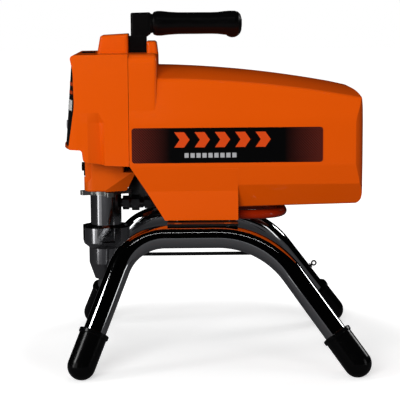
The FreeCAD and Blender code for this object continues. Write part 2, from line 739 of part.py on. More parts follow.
def knob():
    """Pressure knob on the far side: fluted skirt, flat top, pointer ridge."""
    y0 = COVER_Y + 1.0
    body = rod_y(y0, y0 + 17, KNOB_X, KNOB_Z, 17.0)
    body = soften(body, 2.0, lambda e: e.Curve.TypeId == "Part::GeomCircle" and middle_of(e).y > y0 + 16)
    for k in range(18):
        a = math.radians(20 * k)
        x = KNOB_X + 18.2 * math.cos(a)
        z = KNOB_Z + 18.2 * math.sin(a)
        body = body.cut(rod_y(y0 + 3, y0 + 18, x, z, 2.2))
    ridge = block(KNOB_X - 1.2, KNOB_X + 1.2, y0 + 16.5, y0 + 18.5, KNOB_Z + 2, KNOB_Z + 14)
    shaft = rod_y(COVER_Y - 12, y0 + 1, KNOB_X, KNOB_Z, 3.0)
    return union([body, ridge, shaft])


def control_pot():
    """Potentiometer body behind the far wall, with a threaded neck through it."""
    body = rod_y(COVER_Y - 22, COVER_Y - COVER_WALL - 0.1, KNOB_X, KNOB_Z, 12.0)
    neck = rod_y(COVER_Y - COVER_WALL - 0.2, COVER_Y + 0.4, KNOB_X, KNOB_Z, 5.0)
    return union([body, neck]).cut(rod_y(COVER_Y - 12.5, COVER_Y + 1, KNOB_X, KNOB_Z, 3.0 + FIT))


def control_board():
    """Circuit board behind the panel: key switches, display carrier and a power block."""
    face, back = PANEL_BACK_X, PANEL_BACK_X + 1.6
    parts = [block(face, back, -PANEL_Y + 2.4, PANEL_Y - 2.4, PANEL_LOW_Z + 2.4, PANEL_TOP_Z - 2.4)]
    parts.append(block(face - 6.0, face, -22, 22, DISPLAY_Z[0] + 1, DISPLAY_Z[1] - 1))
    for y in BUTTON_Y:
        parts.append(block(face - 7.4, face, y - 4, y + 4, BUTTON_Z - 4, BUTTON_Z + 4))
    parts.append(block(back, back + 7.0, -50, -20, 380, 398))
    return union(parts)


# ---- carrying handle ---------------------------------------------------------------------------------
def handle_post():
    """Moulded post: square foot, upright and a rounded arm towards the grip."""
    foot = block(POST_BOX[0] + 0.2, POST_BOX[1] - 0.2, -POST_Y + 0.3, POST_Y - 0.3, DECK_Z - 12, 433.5)
    upright = prism_y([
        (-113.6, 432.0, 0), (-113.6, 464.4, 2), (-86.0, 465.0, 4), (-86.0, 436.5, 5), (-92.5, 432.0, 0),
    ], -13.5, 13.5)
    upright = soften(upright, 4.0, lambda e: abs(abs(middle_of(e).y) - 13.5) < 0.01 and middle_of(e).z > 434)
    post = union([foot, upright, rod_x(-90, -84.5, 0, GRIP_Z, 13.0)])
    return post.cut(rod_x(-104, -80, 0, GRIP_Z, 6.0))


def handle_core():
    """Steel rod inside post and grip."""
    return rod_x(-104, 26, 0, GRIP_Z, 6.0)


def handle_grip():
    """Soft grip, slightly waisted, domed at the post, with a swollen end and a finger stop below it."""
    profile = [
        (0.0, 12.0), (0.9, 14.4), (2.8, 15.8), (6.4, 16.6), (12.0, 16.6), (22.4, 15.4), (34.4, 14.7),
        (48.0, 14.6), (62.0, 14.6), (78.0, 14.5), (88.0, 14.8), (96.0, 15.8), (103.0, 16.4), (111.0, 16.3),
        (115.9, 14.8), (118.9, 11.4), (120.7, 5.0),
    ]
    body = turned(profile, (-84.4, 0, GRIP_Z), (1, 0, 0))
    stop = Part.makeSphere(12.5, V(23.5, 0, GRIP_Z - 7.0))
    grip = union([body, stop])
    return grip.cut(rod_x(-85, 26, 0, GRIP_Z, 6.0))


# ---- drive casting and gears ---------------------------------------------------------------------------
CASE_Y = 42.0
CASE_X0, CASE_X1 = -178.4, -124.0
CASE_FACE_X = -176.6         # front wall above the lower lip
CASE_BOTTOM_Z = 226.3
ROD_X0, ROD_X1 = PUMP_X - 5.25, PUMP_X + 5.25      # connecting rod's thickness, along X
CHAMBER_Y = 30.0


def corner_notch():
    """Cut beside the front wall, with a round foot: the side wall starts further back."""
    return prism_y([
        (-200, 300, 0), (-200, 238, 0), (-167.5, 238, 11), (-167.5, 300, 0),
    ], -CASE_Y - 10, -33.0)


def under_bevel():
    """Slanted cut under a line that rises to the rear across the near side wall."""
    corner_low = V(-152.0, -CASE_Y, CASE_BOTTOM_Z)
    corner_high = V(-115.0, -CASE_Y, 251.5)
    inner = V(-119.0, -CASE_Y + 13.0, CASE_BOTTOM_Z)
    across = corner_high - corner_low
    normal = across.cross(inner - corner_low)
    normal.normalize()
    if normal.y > 0:
        normal = normal * -1.0
    across.normalize()
    down = across.cross(normal)
    span, reach = 60.0, 70.0
    middle = (corner_low + corner_high) * 0.5
    pts = [
        middle - across * span - down * reach, middle + across * span - down * reach,
        middle + across * span + down * reach, middle - across * span + down * reach,
    ]
    slab = Part.Face(Part.makePolygon(pts + [pts[0]])).extrude(normal * 60.0)
    return slab


def drive_casting():
    """Cast housing of crank and connecting rod. Its foot shows under the front cover."""
    low = CASE_BOTTOM_Z
    foot = prism_z([
        (CASE_X0, -CASE_Y, 14), (CASE_X0, CASE_Y, 14), (CASE_X1, CASE_Y, 3), (CASE_X1, -CASE_Y, 3),
    ], low, 272)
    foot = soften(foot, 3.0, lambda e: middle_of(e).z < low + 0.01)
    foot = foot.cut(block(CASE_X0 - 5, CASE_FACE_X, -60, 60, 246, 280))
    web = prism_y([
        (-150.0, low, 0), (-150.0, 252.5, 0), (-108.0, 252.5, 3), (-121.5, low, 3),
    ], -CASE_Y, 0)
    foot = union([foot, web]).cut(under_bevel()).cut(corner_notch()).cut(mirrored_y(corner_notch()))
    head = prism_z([
        (-169.0, -CASE_Y + 2, 12), (-169.0, CASE_Y - 2, 12),
        (CASE_X1, CASE_Y - 2, 3), (CASE_X1, -CASE_Y + 2, 3),
    ], 271, 366)
    rim = rod_z(low - 2.1, low + 2, PUMP_X, 0, 24.5)
    cast = union([foot, head, rim])
    # Crank and rod chamber.
    chamber = prism_x([
        (-CHAMBER_Y, 236, 4), (CHAMBER_Y, 236, 4), (CHAMBER_Y, 360, 24), (-CHAMBER_Y, 360, 24),
    ], -163.0, -136.0)
    cast = cast.cut(chamber)
    # Service window in front, half covered by the guard.
    window = prism_x([
        (-26, 251, 2), (-26, 236, 7), (26, 236, 7), (26, 251, 2),
    ], -180.0, -162.0)
    cast = cast.cut(window).cut(rod_x(-180, -170, 0, GUARD_Z, 2.0))
    cast = cast.cut(rod_z(low - 4, 240, PUMP_X, 0, 17.0))
    # Bearing seats of crank and intermediate shaft, and the crankshaft's way through.
    cast = cast.cut(rod_x(-137.0, CASE_X1 + 1, 0, CRANK_Z, BEARING_R["crank"]))
    cast = cast.cut(rod_x(-131.0, CASE_X1 + 1, MID_Y, MID_Z, BEARING_R["mid"]))
    for y, z in CASE_SCREWS:
        cast = cast.cut(rod_x(CASE_X1 - 15.0, CASE_X1 + 1, y, z, CASE_SCREW_R))
    return cast


PRESSURE_ANGLE = math.radians(25)
MOTOR_TEETH, MID_TEETH, MID_PINION_TEETH, CRANK_TEETH = 12, 52, 14, 60
FAST_MODULE, SLOW_MODULE = 1.25, 1.5
A_FAST = (MOTOR_TEETH + MID_TEETH) / 2 * FAST_MODULE
A_SLOW = (MID_PINION_TEETH + CRANK_TEETH) / 2 * SLOW_MODULE
AXIS_STEP = CRANK_Z - MOTOR_Z
MID_DOWN = (A_SLOW ** 2 - A_FAST ** 2 - AXIS_STEP ** 2) / (2 * AXIS_STEP)
MID_Z = MOTOR_Z - MID_DOWN
MID_Y = math.sqrt(A_FAST ** 2 - MID_DOWN ** 2)
BEARING_R = {"crank": 20.0, "mid": 11.0, "motor": 13.0}
FLANGE_X = (-88.0, -84.0)
CASE_SCREWS = ((-36.0, 357.0), (36.0, 357.0), (-38.0, 281.0))
CASE_SCREW_R = 2.5


def gear(teeth, module, x0, x1, y, z, phase):
    """Spur gear along X. phase is the angle of one tooth's middle, from +Y towards +Z."""
    r = teeth * module / 2
    base = r * math.cos(PRESSURE_ANGLE)
    tip = r + 0.9 * module
    root = r - 1.2 * module
    backlash = 0.09 * module
    pitch_half = math.pi / (2 * teeth) - backlash / (2 * r)
    involute_at_pitch = math.tan(PRESSURE_ANGLE) - PRESSURE_ANGLE

    def half_angle(radius):
        if radius <= base:
            return pitch_half + involute_at_pitch
        a = math.acos(base / radius)
        return pitch_half + involute_at_pitch - (math.tan(a) - a)

    def at(radius, angle):
        return V(x0, y + radius * math.cos(angle), z + radius * math.sin(angle))

    low = max(base, root)
    mid = (low + tip) / 2
    edges = []
    for k in range(teeth):
        a = phase + 2 * math.pi * k / teeth
        follow = a + 2 * math.pi / teeth
        foot_a = at(root, a - half_angle(root))
        low_a = at(low, a - half_angle(low))
        low_b = at(low, a + half_angle(low))
        foot_b = at(root, a + half_angle(root))
        tip_a = at(tip, a - half_angle(tip))
        tip_b = at(tip, a + half_angle(tip))
        if low > root:
            edges.append(Part.makeLine(foot_a, low_a))
        edges.append(Part.Arc(low_a, at(mid, a - half_angle(mid)), tip_a).toShape())
        edges.append(Part.makeLine(tip_a, tip_b))
        edges.append(Part.Arc(tip_b, at(mid, a + half_angle(mid)), low_b).toShape())
        if low > root:
            edges.append(Part.makeLine(low_b, foot_b))
        edges.append(Part.makeLine(foot_b, at(root, follow - half_angle(root))))
    return Part.Face(Part.Wire(edges)).extrude(V(x1 - x0, 0, 0))


SLOW_X = (-120.0, -107.0)    # crank gear and intermediate pinion
FAST_X = (-104.0, -95.0)     # intermediate gear and motor pinion
ANGLE_MOTOR_TO_MID = math.atan2(MID_Z - MOTOR_Z, MID_Y)
ANGLE_CRANK_TO_MID = math.atan2(MID_Z - CRANK_Z, MID_Y)


def crank_gear():
    """Large gear on the crankshaft."""
    tooth_gap = ANGLE_CRANK_TO_MID + math.pi / CRANK_TEETH
    wheel = gear(CRANK_TEETH, SLOW_MODULE, SLOW_X[0], SLOW_X[1], 0, CRANK_Z, tooth_gap)
    for k in range(6):
        a = math.radians(60 * k + 30)
        wheel = wheel.cut(rod_x(-125, -100, 27 * math.cos(a), CRANK_Z + 27 * math.sin(a), 6.5))
    return wheel.cut(rod_x(-125, -100, 0, CRANK_Z, 10.0))


def crank_shaft():
    """Shaft with a disc and an offset pin. The pin ends just short of the connecting rod."""
    shaft = rod_x(-136.0, -105.0, 0, CRANK_Z, 10.0)
    disc = rod_x(-142.0, -137.0, 0, CRANK_Z, 23.0)
    neck = rod_x(-137.0, -136.0, 0, CRANK_Z, 12.0)
    pin = rod_x(ROD_X1 + GAP, -141.5, 0, CRANK_Z + CRANK_R, 7.0)
    return union([shaft, neck, disc, pin])


def intermediate_shaft():
    """Gear and pinion on the middle shaft."""
    pinion_tooth = ANGLE_CRANK_TO_MID + math.pi
    wheel_gap = ANGLE_MOTOR_TO_MID + math.pi + math.pi / MID_TEETH
    slow = gear(MID_PINION_TEETH, SLOW_MODULE, SLOW_X[0] - 0.5, SLOW_X[1] + 0.5, MID_Y, MID_Z, pinion_tooth)
    fast = gear(MID_TEETH, FAST_MODULE, FAST_X[0], FAST_X[1], MID_Y, MID_Z, wheel_gap)
    spindle = rod_x(-130.5, -87.5, MID_Y, MID_Z, 5.0)
    hub = rod_x(SLOW_X[1], FAST_X[0] + 1, MID_Y, MID_Z, 8.0)
    return union([spindle, slow, hub, fast])


def motor_pinion():
    """Small gear on the motor shaft."""
    wheel = gear(MOTOR_TEETH, FAST_MODULE, FAST_X[0] - 0.5, FAST_X[1] + 0.5, 0, MOTOR_Z, ANGLE_MOTOR_TO_MID)
    return wheel


def ball_bearing(x0, x1, y, z, bore, outside):
    """Shielded bearing: two rings with a set-back shield between them, joined as one body."""
    ring = rod_x(x0, x1, y, z, outside).cut(rod_x(x0 - 1, x1 + 1, y, z, bore + FIT))
    inner, outer = bore + (outside - bore) * 0.3, bore + (outside - bore) * 0.75
    for a, b in ((x0 - 1, x0 + 0.7), (x1 - 0.7, x1 + 1)):
        ring = ring.cut(rod_x(a, b, y, z, outer).cut(rod_x(a - 1, b + 1, y, z, inner)))
    return ring


def gear_case_outline(inset, x0, x1):
    """Rounded outline around both gear pairs, in Y and Z."""
    wheel = rod_x(x0, x1, 0, CRANK_Z, 51.0 - inset)
    mid = rod_x(x0, x1, MID_Y, MID_Z, 39.0 - inset)
    motor = rod_x(x0, x1, 0, MOTOR_Z, 46.0 - inset)
    return union([wheel, mid, motor])


def gear_case():
    """Cup between the drive casting and the motor flange."""
    x0, x1 = CASE_X1, FLANGE_X[0]
    inside = gear_case_outline(3.5, x0 - 1, x1 + 1)
    lugs = [rod_x(x0, x1, y, z, 6.0) for y, z in CASE_SCREWS]
    cup = union([gear_case_outline(0, x0, x1)] + lugs).cut(inside)
    for y, z in CASE_SCREWS:
        cup = cup.cut(rod_x(x0 - 1, x1 + 1, y, z, CASE_SCREW_R))
    return cup


def motor_flange():
    """Plate that closes the gear case and carries the motor and two bearings."""
    x0, x1 = FLANGE_X
    parts = [gear_case_outline(0, x0, x1), rod_x(x0, x1, 0, MOTOR_Z, CAN_R)]
    parts.append(rod_x(x1, x1 + 8, 0, MOTOR_Z, 17.0))
    plate = union(parts)
    plate = plate.cut(rod_x(x0 - 1, x1 + 1, 0, MOTOR_Z, 7.0))
    plate = plate.cut(rod_x(x1, x1 + 9, 0, MOTOR_Z, BEARING_R["motor"]))
    for y, z in CASE_SCREWS:
        plate = plate.cut(rod_x(x0 - 1, x1 + 1, y, z, CASE_SCREW_R))
    # A blind bush keeps the rear end of the intermediate shaft.
    return plate.cut(rod_x(x0 - 1, x0 + 2.5, MID_Y, MID_Z, 5.0 + FIT))


def case_screws():
    """Socket screws that clamp flange, gear case and casting."""
    x1 = FLANGE_X[1]
    screws = []
    for y, z in CASE_SCREWS:
        head = rod_x(x1, x1 + 5.0, y, z, 4.2).cut(hexagon((x1 + 2.5, y, z), (1, 0, 0), 3.6, 3.0))
        screws.append(union([rod_x(CASE_X1 - 14.0, x1, y, z, CASE_SCREW_R), head]))
    return Part.makeCompound(screws)


# ---- motor -----------------------------------------------------------------------------------------
STACK_X = (-45.0, 60.0)
STATOR_IN, ROTOR_R = 30.0, 29.4


def motor_can():
    """Motor housing: a tube with eight vent slots near its rear end."""
    can = rod_x(CAN_X0, CAN_X1, 0, MOTOR_Z, CAN_R).cut(rod_x(CAN_X0 - 1, CAN_X1 + 1, 0, MOTOR_Z, CAN_R - 3.0))
    for k in range(8):
        a = math.radians(45 * k + 22.5)
        y = 60 * math.cos(a)
        z = MOTOR_Z + 60 * math.sin(a)
        slot = block(70, 88, y - 6, y + 6, z - 6, z + 6)
        can = can.cut(slot.common(rod_x(60, 95, 0, MOTOR_Z, 70)))
    return can


def end_bell():
    """Rear end of the motor: a spoked plate with the rear bearing seat."""
    plate = rod_x(CAN_X1, CAN_X1 + 6, 0, MOTOR_Z, CAN_R)
    for k in range(6):
        a = math.radians(60 * k)
        plate = plate.cut(rod_x(CAN_X1 - 1, CAN_X1 + 7, 33 * math.cos(a), MOTOR_Z + 33 * math.sin(a), 9.5))
    seat = rod_x(CAN_X1 - 5, CAN_X1 + 6, 0, MOTOR_Z, 17.0)
    bell = union([plate, seat])
    bell = bell.cut(rod_x(CAN_X1 - 6, CAN_X1 + 3, 0, MOTOR_Z, BEARING_R["motor"]))
    return bell.cut(rod_x(CAN_X1 - 6, CAN_X1 + 10, 0, MOTOR_Z, 6.0))


def stator_core():
    """Laminated ring with twelve slots."""
    core = rod_x(STACK_X[0], STACK_X[1], 0, MOTOR_Z, CAN_R - 3.0)
    core = core.cut(rod_x(STACK_X[0] - 1, STACK_X[1] + 1, 0, MOTOR_Z, STATOR_IN))
    for y, z in slot_places():
        core = core.cut(rod_x(STACK_X[0] - 1, STACK_X[1] + 1, y, z, 4.4))
    return core


SLOTS = 12
SLOT_RING_R = 39.0           # circle that the slots stand on


def slot_places():
    """Centres of the twelve stator slots, in (Y, Z)."""
    places = []
    for k in range(SLOTS):
        a = 2 * math.pi * k / SLOTS
        places.append((SLOT_RING_R * math.cos(a), MOTOR_Z + SLOT_RING_R * math.sin(a)))
    return places


def windings():
    """Copper bars in the slots, joined by an end turn at each end."""
    parts = [rod_x(STACK_X[0] - 2, STACK_X[1] + 2, y, z, 4.3) for y, z in slot_places()]
    for x0, x1 in ((STACK_X[0] - 14, STACK_X[0] - 1), (STACK_X[1] + 1, STACK_X[1] + 14)):
        turn = rod_x(x0, x1, 0, MOTOR_Z, 46.0).cut(rod_x(x0 - 1, x1 + 1, 0, MOTOR_Z, 33.0))
        parts.append(soften(turn, 3.0, lambda e: e.Curve.TypeId == "Part::GeomCircle"))
    return union(parts)


def rotor_shaft():
    """Motor shaft, stepped for its bearings."""
    return union([
        motor_pinion(), rod_x(-95.0, 122.0, 0, MOTOR_Z, 5.5), rod_x(-73, 90, 0, MOTOR_Z, 7.0),
    ])


def rotor_core():
    """Magnet rotor with shallow lines between its poles."""
    core = rod_x(STACK_X[0] + 1, STACK_X[1] - 1, 0, MOTOR_Z, ROTOR_R)
    for k in range(8):
        a = math.radians(45 * k)
        core = core.cut(rod_x(STACK_X[0], STACK_X[1], 30.5 * math.cos(a), MOTOR_Z + 30.5 * math.sin(a), 1.6))
    return core.cut(rod_x(STACK_X[0], STACK_X[1], 0, MOTOR_Z, 7.0))


def fan():
    """Cooling fan behind the motor: hub, back plate and nine straight blades."""
    hub = rod_x(106.0, 121.0, 0, MOTOR_Z, 11.0)
    plate = rod_x(106.0, 108.2, 0, MOTOR_Z, 44.0)
    blade = block(107.5, 121.0, 9, 43, MOTOR_Z - 0.9, MOTOR_Z + 0.9)
    parts = [hub, plate]
    for k in range(9):
        parts.append(blade.rotated(V(0, 0, MOTOR_Z), V(1, 0, 0), 40 * k))
    return union(parts).cut(rod_x(105, 122.5, 0, MOTOR_Z, 5.5))


# ---- connecting rod and pump rod ---------------------------------------------------------------------
WRIST_Z = CRANK_Z + CRANK_R - ROD_LENGTH
PUMP_ROD_R = 8.0
PISTON_Z = (152.0, 166.0)
BORE_R = 13.0


def connecting_rod():
    """Flat rod with a large eye at the crank and a small one at the pump rod's pin."""
    top, low = CRANK_Z + CRANK_R, WRIST_Z
    body = prism_x([
        (-5.5, low, 0), (5.5, low, 0), (8.0, top, 0), (-8.0, top, 0),
    ], ROD_X0, ROD_X1)
    rod = union([body, rod_x(ROD_X0, ROD_X1, 0, top, 13.0), rod_x(ROD_X0, ROD_X1, 0, low, 8.0)])
    rod = rod.cut(rod_x(ROD_X0 - 1, ROD_X1 + 1, 0, top, 9.2))
    rod = rod.cut(rod_x(ROD_X0 - 1, ROD_X1 + 1, 0, low, 4.0 + FIT))
    return rod


def pump_rod():
    """Displacement rod: forked top, polished shank, hollow piston seat at the foot."""
    head = rod_z(WRIST_Z - 15, WRIST_Z + 7, PUMP_X, 0, 10.2)
    head = head.cut(block(ROD_X0 - GAP, ROD_X1 + GAP, -20, 20, WRIST_Z - 9, WRIST_Z + 10))
    head = head.cut(rod_x(-170, -130, 0, WRIST_Z, 4.0))
    shank = rod_z(PISTON_Z[0], WRIST_Z - 12, PUMP_X, 0, PUMP_ROD_R)
    piston = rod_z(PISTON_Z[0], PISTON_Z[1], PUMP_X, 0, 10.0)
    rod = union([head, shank, piston])
    # Ball chamber with a conical seat, and cross holes above it.
    rod = rod.cut(rod_z(PISTON_Z[0] + 5, PISTON_Z[1] + 6, PUMP_X, 0, 6.0))
    rod = rod.cut(cone_z(PISTON_Z[0] + 2, PISTON_Z[0] + 5.01, PUMP_X, 0, 3.6, 6.0))
    rod = rod.cut(rod_z(PISTON_Z[0] - 1, PISTON_Z[0] + 2.1, PUMP_X, 0, 3.6))
    return rod.cut(rod_x(PUMP_X - 12, PUMP_X + 12, 0, PISTON_Z[1] + 4, 2.4))


def piston_seals():
    """Stack of chevron seals on the piston."""
    seal = rod_z(PISTON_Z[0] + 3, PISTON_Z[1] - 2, PUMP_X, 0, BORE_R - FIT)
    for k in range(2):
        z = PISTON_Z[0] + 6 + 3 * k
        groove = rod_z(z, z + 0.6, PUMP_X, 0, BORE_R + 1).cut(rod_z(z - 1, z + 2, PUMP_X, 0, BORE_R - 1))
        seal = seal.cut(groove)
    return seal.cut(rod_z(PISTON_Z[0], PISTON_Z[1], PUMP_X, 0, 10.0))


def wrist_pin():
    """Cross pin between connecting rod and pump rod."""
    return rod_x(PUMP_X - 9.3, PUMP_X + 9.3, 0, WRIST_Z, 4.0)


def seated_ball(radius, cone_low_z, cone_r0, cone_r1, cone_height):
    """Ball that rests on a conical seat, a hair above it."""
    slope = math.atan2(cone_height, cone_r1 - cone_r0)
    # Height of the centre over the cone's virtual tip.
    tip_z = cone_low_z - cone_r0 * math.tan(slope)
    centre_z = tip_z + (radius + 0.03) / math.cos(slope)
    return Part.makeSphere(radius, V(PUMP_X, 0, centre_z))


def piston_ball():
    """Ball of the piston valve."""
    return seated_ball(5.0, PISTON_Z[0] + 2, 3.6, 6.0, 3.01)


def inlet_ball():
    """Ball of the inlet valve."""
    return seated_ball(7.0, SEAT_Z + 2, 4.6, 7.6, 3.75)


# ---- pump ---------------------------------------------------------------------------------------------
BLOCK_Z = (145.2, 174.5)
UPPER_R = 21.25
LOWER_R = 24.0
SEAT_Z = 112.0
PACKING_Z = (211.0, 224.0)
INLET_Z = 102.0
INLET_R = 10.0
THREAD_R = 11.0              # suction thread, with an undercut above it
RING_Z = 219.4               # underside of the ring nut


def upper_cylinder():
    """Threaded top tube of the pump; it stands in the casting's foot."""
    low = BLOCK_Z[1]
    tube = union([
        rod_z(low, 234.0, PUMP_X, 0, 16.8), rod_z(low, RING_Z, PUMP_X, 0, UPPER_R),
        cone_z(low, low + 3, PUMP_X, 0, UPPER_R + 2, UPPER_R),
    ])
    for k in range(3):
        z = 227.0 - 2.0 * k
        groove = rod_z(z, z + 0.8, PUMP_X, 0, 18).cut(rod_z(z - 1, z + 2, PUMP_X, 0, 16.1))
        tube = tube.cut(groove)
    tube = tube.cut(rod_z(BLOCK_Z[1] - 1, PACKING_Z[1], PUMP_X, 0, BORE_R))
    tube = tube.cut(rod_z(PACKING_Z[1] - 1, 235.0, PUMP_X, 0, 12.6))
    tube = tube.cut(rod_x(PUMP_X + 16.5, PUMP_X + 25, 0, OUTLET_Z, 6.0))
    return tube.cut(rod_x(PUMP_X + 10, PUMP_X + 25, 0, OUTLET_Z, OUTLET_R))


def throat_packing():
    """Packing stack around the rod, under a gland nut."""
    low, high = PACKING_Z
    stack = rod_z(low, high, PUMP_X, 0, BORE_R)
    stack = stack.cut(rod_z(low - 1, high + 1, PUMP_X, 0, PUMP_ROD_R + FIT))
    for k in range(3):
        z = low + 3.0 + 3.2 * k
        groove = rod_z(z, z + 0.5, PUMP_X, 0, BORE_R + 1).cut(rod_z(z - 1, z + 2, PUMP_X, 0, BORE_R - 1.2))
        stack = stack.cut(groove)
    return stack


def packing_nut():
    """Gland nut over the packing, with four spanner slots."""
    low = PACKING_Z[1]
    nut = rod_z(low, low + 9.0, PUMP_X, 0, 12.6).cut(rod_z(low - 1, low + 10, PUMP_X, 0, PUMP_ROD_R + 0.6))
    for k in range(4):
        a = math.radians(90 * k + 45)
        nut = nut.cut(rod_z(low + 6, low + 10, PUMP_X + 12 * math.cos(a), 12 * math.sin(a), 2.0))
    return nut


def ring_nut():
    """Large locknut with four hammer lugs, under the casting."""
    top = CASE_BOTTOM_Z - 2.2
    parts = [rod_z(RING_Z, top, PUMP_X, 0, 23.0)]
    for k in range(4):
        lug = prism_z([(20, -7, 0), (35, -5.5, 3), (35, 5.5, 3), (20, 7, 0)], RING_Z - 1.2, top)
        lug.rotate(V(0, 0, 0), V(0, 0, 1), 90 * k + 15)
        lug.translate(V(PUMP_X, 0, 0))
        parts.append(lug)
    nut = union(parts).cut(rod_z(RING_Z - 9, top + 6, PUMP_X, 0, 16.8))
    return nut.cut(rod_z(RING_Z - 9, RING_Z, PUMP_X, 0, UPPER_R + 0.2))


BLOCK_TURN = 10.0            # degrees, as the block comes to rest when it is tight


def pump_block():
    """Large flatted body under the upper cylinder: eight sides, notched in front, tapered below."""
    half = 30.5
    cut = 11.0
    body = prism_z([
        (-half, -half + cut, 0), (-half, half - cut, 0), (-half + cut, half, 0), (half - cut, half, 0),
        (half, half - cut, 0), (half, -half + cut, 0), (half - cut, -half, 0), (-half + cut, -half, 0),
    ], BLOCK_Z[0], BLOCK_Z[1])
    body.translate(V(PUMP_X, 0, 0))
    body.rotate(V(PUMP_X, 0, 0), V(0, 0, 1), BLOCK_TURN)
    taper = turned([(0, LOWER_R), (9, half + 4), (30, half + 4)], (PUMP_X, 0, BLOCK_Z[0]), (0, 0, 1))
    body = body.common(taper)
    for turn in range(4):
        notch = prism_y([
            (-8.0, 155.0, 0), (8.0, 155.0, 0), (8.0, 180.0, 0), (-8.0, 180.0, 0),
        ], -40, -24.5)
        notch.rotate(V(0, 0, 0), V(0, 0, 1), 90 * turn + BLOCK_TURN)
        notch.translate(V(PUMP_X, 0, 0))
        body = body.cut(notch)
    body = body.cut(rod_z(140.0, 180.0, PUMP_X, 0, BORE_R))
    return body


def inlet_housing():
    """Lower cylinder with a tapered foot, threaded for a suction tube."""
    body = turned([
        (0, 16.5), (3, 17.5), (22, LOWER_R), (BLOCK_Z[0] - INLET_Z, LOWER_R),
    ], (PUMP_X, 0, INLET_Z), (0, 0, 1))
    body = body.cut(rod_z(SEAT_Z + 6.5, BLOCK_Z[0] + 1, PUMP_X, 0, BORE_R))
    body = body.cut(rod_z(SEAT_Z - 1, SEAT_Z + 7, PUMP_X, 0, INLET_R))
    body = body.cut(rod_z(SEAT_Z - 1, SEAT_Z, PUMP_X, 0, THREAD_R + 0.7))
    return body.cut(rod_z(INLET_Z - 1, SEAT_Z - 1, PUMP_X, 0, THREAD_R))


def inlet_seat():
    """Seat ring with a cone for the ball, and a rim that clamps it between the housings."""
    ring = rod_z(SEAT_Z, SEAT_Z + 6.5, PUMP_X, 0, INLET_R)
    rim = rod_z(SEAT_Z + 6.5, SEAT_Z + 8.5, PUMP_X, 0, BORE_R)
    seat = union([ring, rim])
    seat = seat.cut(rod_z(SEAT_Z - 1, SEAT_Z + 2.1, PUMP_X, 0, 4.6))
    seat = seat.cut(cone_z(SEAT_Z + 2, SEAT_Z + 5.75, PUMP_X, 0, 4.6, 7.6))
    return seat.cut(rod_z(SEAT_Z + 5.74, SEAT_Z + 9, PUMP_X, 0, 8.6))


# ---- outlet, hose, filter, valves ---------------------------------------------------------------------
OUTLET_Z = 206.0
OUTLET_R = 3.0


def outlet_fitting():
    """Hex nipple screwed into the upper cylinder, with a coupling nut."""
    x0 = PUMP_X + 16.5
    body = rod_x(x0, -89.0, 0, OUTLET_Z, 6.0)
    parts = [
        body, hexagon((-128.0, 0, OUTLET_Z), (1, 0, 0), 17.0, 9.0),
        hexagon((-115.5, 0, OUTLET_Z), (1, 0, 0), 19.0, 10.5),
    ]
    parts.append(rod_x(-119.0, -115.5, 0, OUTLET_Z, 7.6))
    parts.append(rod_x(-105.0, -99.5, 0, OUTLET_Z, 7.4))
    fitting = union(parts)
    fitting = fitting.cut(rod_x(x0 - 1, -80, 0, OUTLET_Z, OUTLET_R))
    outside = rod_z(190, 220, PUMP_X, 0, UPPER_R).cut(rod_x(PUMP_X, -100, 0, OUTLET_Z, 6.0))
    return fitting.cut(outside)


def hose_nut():
    """Swivel nut of the whip hose at the pump."""
    nut = hexagon((-98.0, 0, OUTLET_Z), (1, 0, 0), 14.5, 9.0)
    nut = union([nut, rod_x(-89.5, -84.0, 0, OUTLET_Z, 6.8)])
    return nut.cut(rod_x(-99, -88.9, 0, OUTLET_Z, 6.0)).cut(rod_x(-90, -80, 0, OUTLET_Z, 5.0))


HOSE_Z = 194.5
HOSE_Y = 42.0
HOSE_END_X = 91.0
SENSOR_Z = 222.5


def hose():
    """Whip hose: from the pump, one loop back under the motor, to the filter."""
    points = [
        (-88.5, 0, OUTLET_Z), (-50.0, 0, OUTLET_Z), (-4.0, -HOSE_Y, HOSE_Z), (HOSE_END_X, -HOSE_Y, HOSE_Z),
        (HOSE_END_X, HOSE_Y, HOSE_Z), (10.0, HOSE_Y, HOSE_Z), (-34.0, HOSE_Y, 206.0), (-68.0, HOSE_Y, 206.0),
    ]
    solid, wire, radii = tube_path(points, HOSE_R)
    print("hose radii", radii, "length", round(wire.Length, 1),
          "section x length", round(math.pi * HOSE_R ** 2 * wire.Length / 1000, 2), "cm3",
          "volume", round(solid.Volume / 1000, 2))
    # Both ends are stepped down into their ferrules.
    for x0, x1 in ((-90.0, -83.9), (-69.0, -62.9)):
        y = 0 if x0 < -80 else HOSE_Y
        z = OUTLET_Z
        solid = solid.cut(rod_x(x0, x1, y, z, 9.0).cut(rod_x(x0 - 1, x1 + 1, y, z, 5.0)))
    return solid


FILTER_X, FILTER_Y, FILTER_R = -98.0, 40.0, 24.0
BOWL_Z = 201.0
MANIFOLD_Z = (224.0, 237.8)
GUN_R = 6.3
GUN_Z = 230.9


def filter_manifold():
    """Cast block over the filter bowl, with hose inlet, gun outlet and valve ports."""
    low, high = MANIFOLD_Z
    head = rod_z(low, high, FILTER_X, FILTER_Y, FILTER_R + 1)
    arm = block(-82.0, -68.0, FILTER_Y - 9, FILTER_Y + 13, 197.0, high)
    boss = rod_y(FILTER_Y + 10, 78.0, FILTER_X, GUN_Z, 6.9)
    body = union([head, arm, boss])
    body = body.cut(rod_z(197, low, FILTER_X, FILTER_Y, FILTER_R + 0.5))
    body = body.cut(rod_z(low - 1, high - 3, FILTER_X, FILTER_Y, 15.0))
    body = body.cut(rod_x(-75, -60, HOSE_Y, OUTLET_Z, 5.0))
    body = body.cut(rod_z(OUTLET_Z, 220.0, -73.0, HOSE_Y, 3.0))
    return body.cut(rod_y(FILTER_Y + 10, 90, FILTER_X, GUN_Z, 5.0))


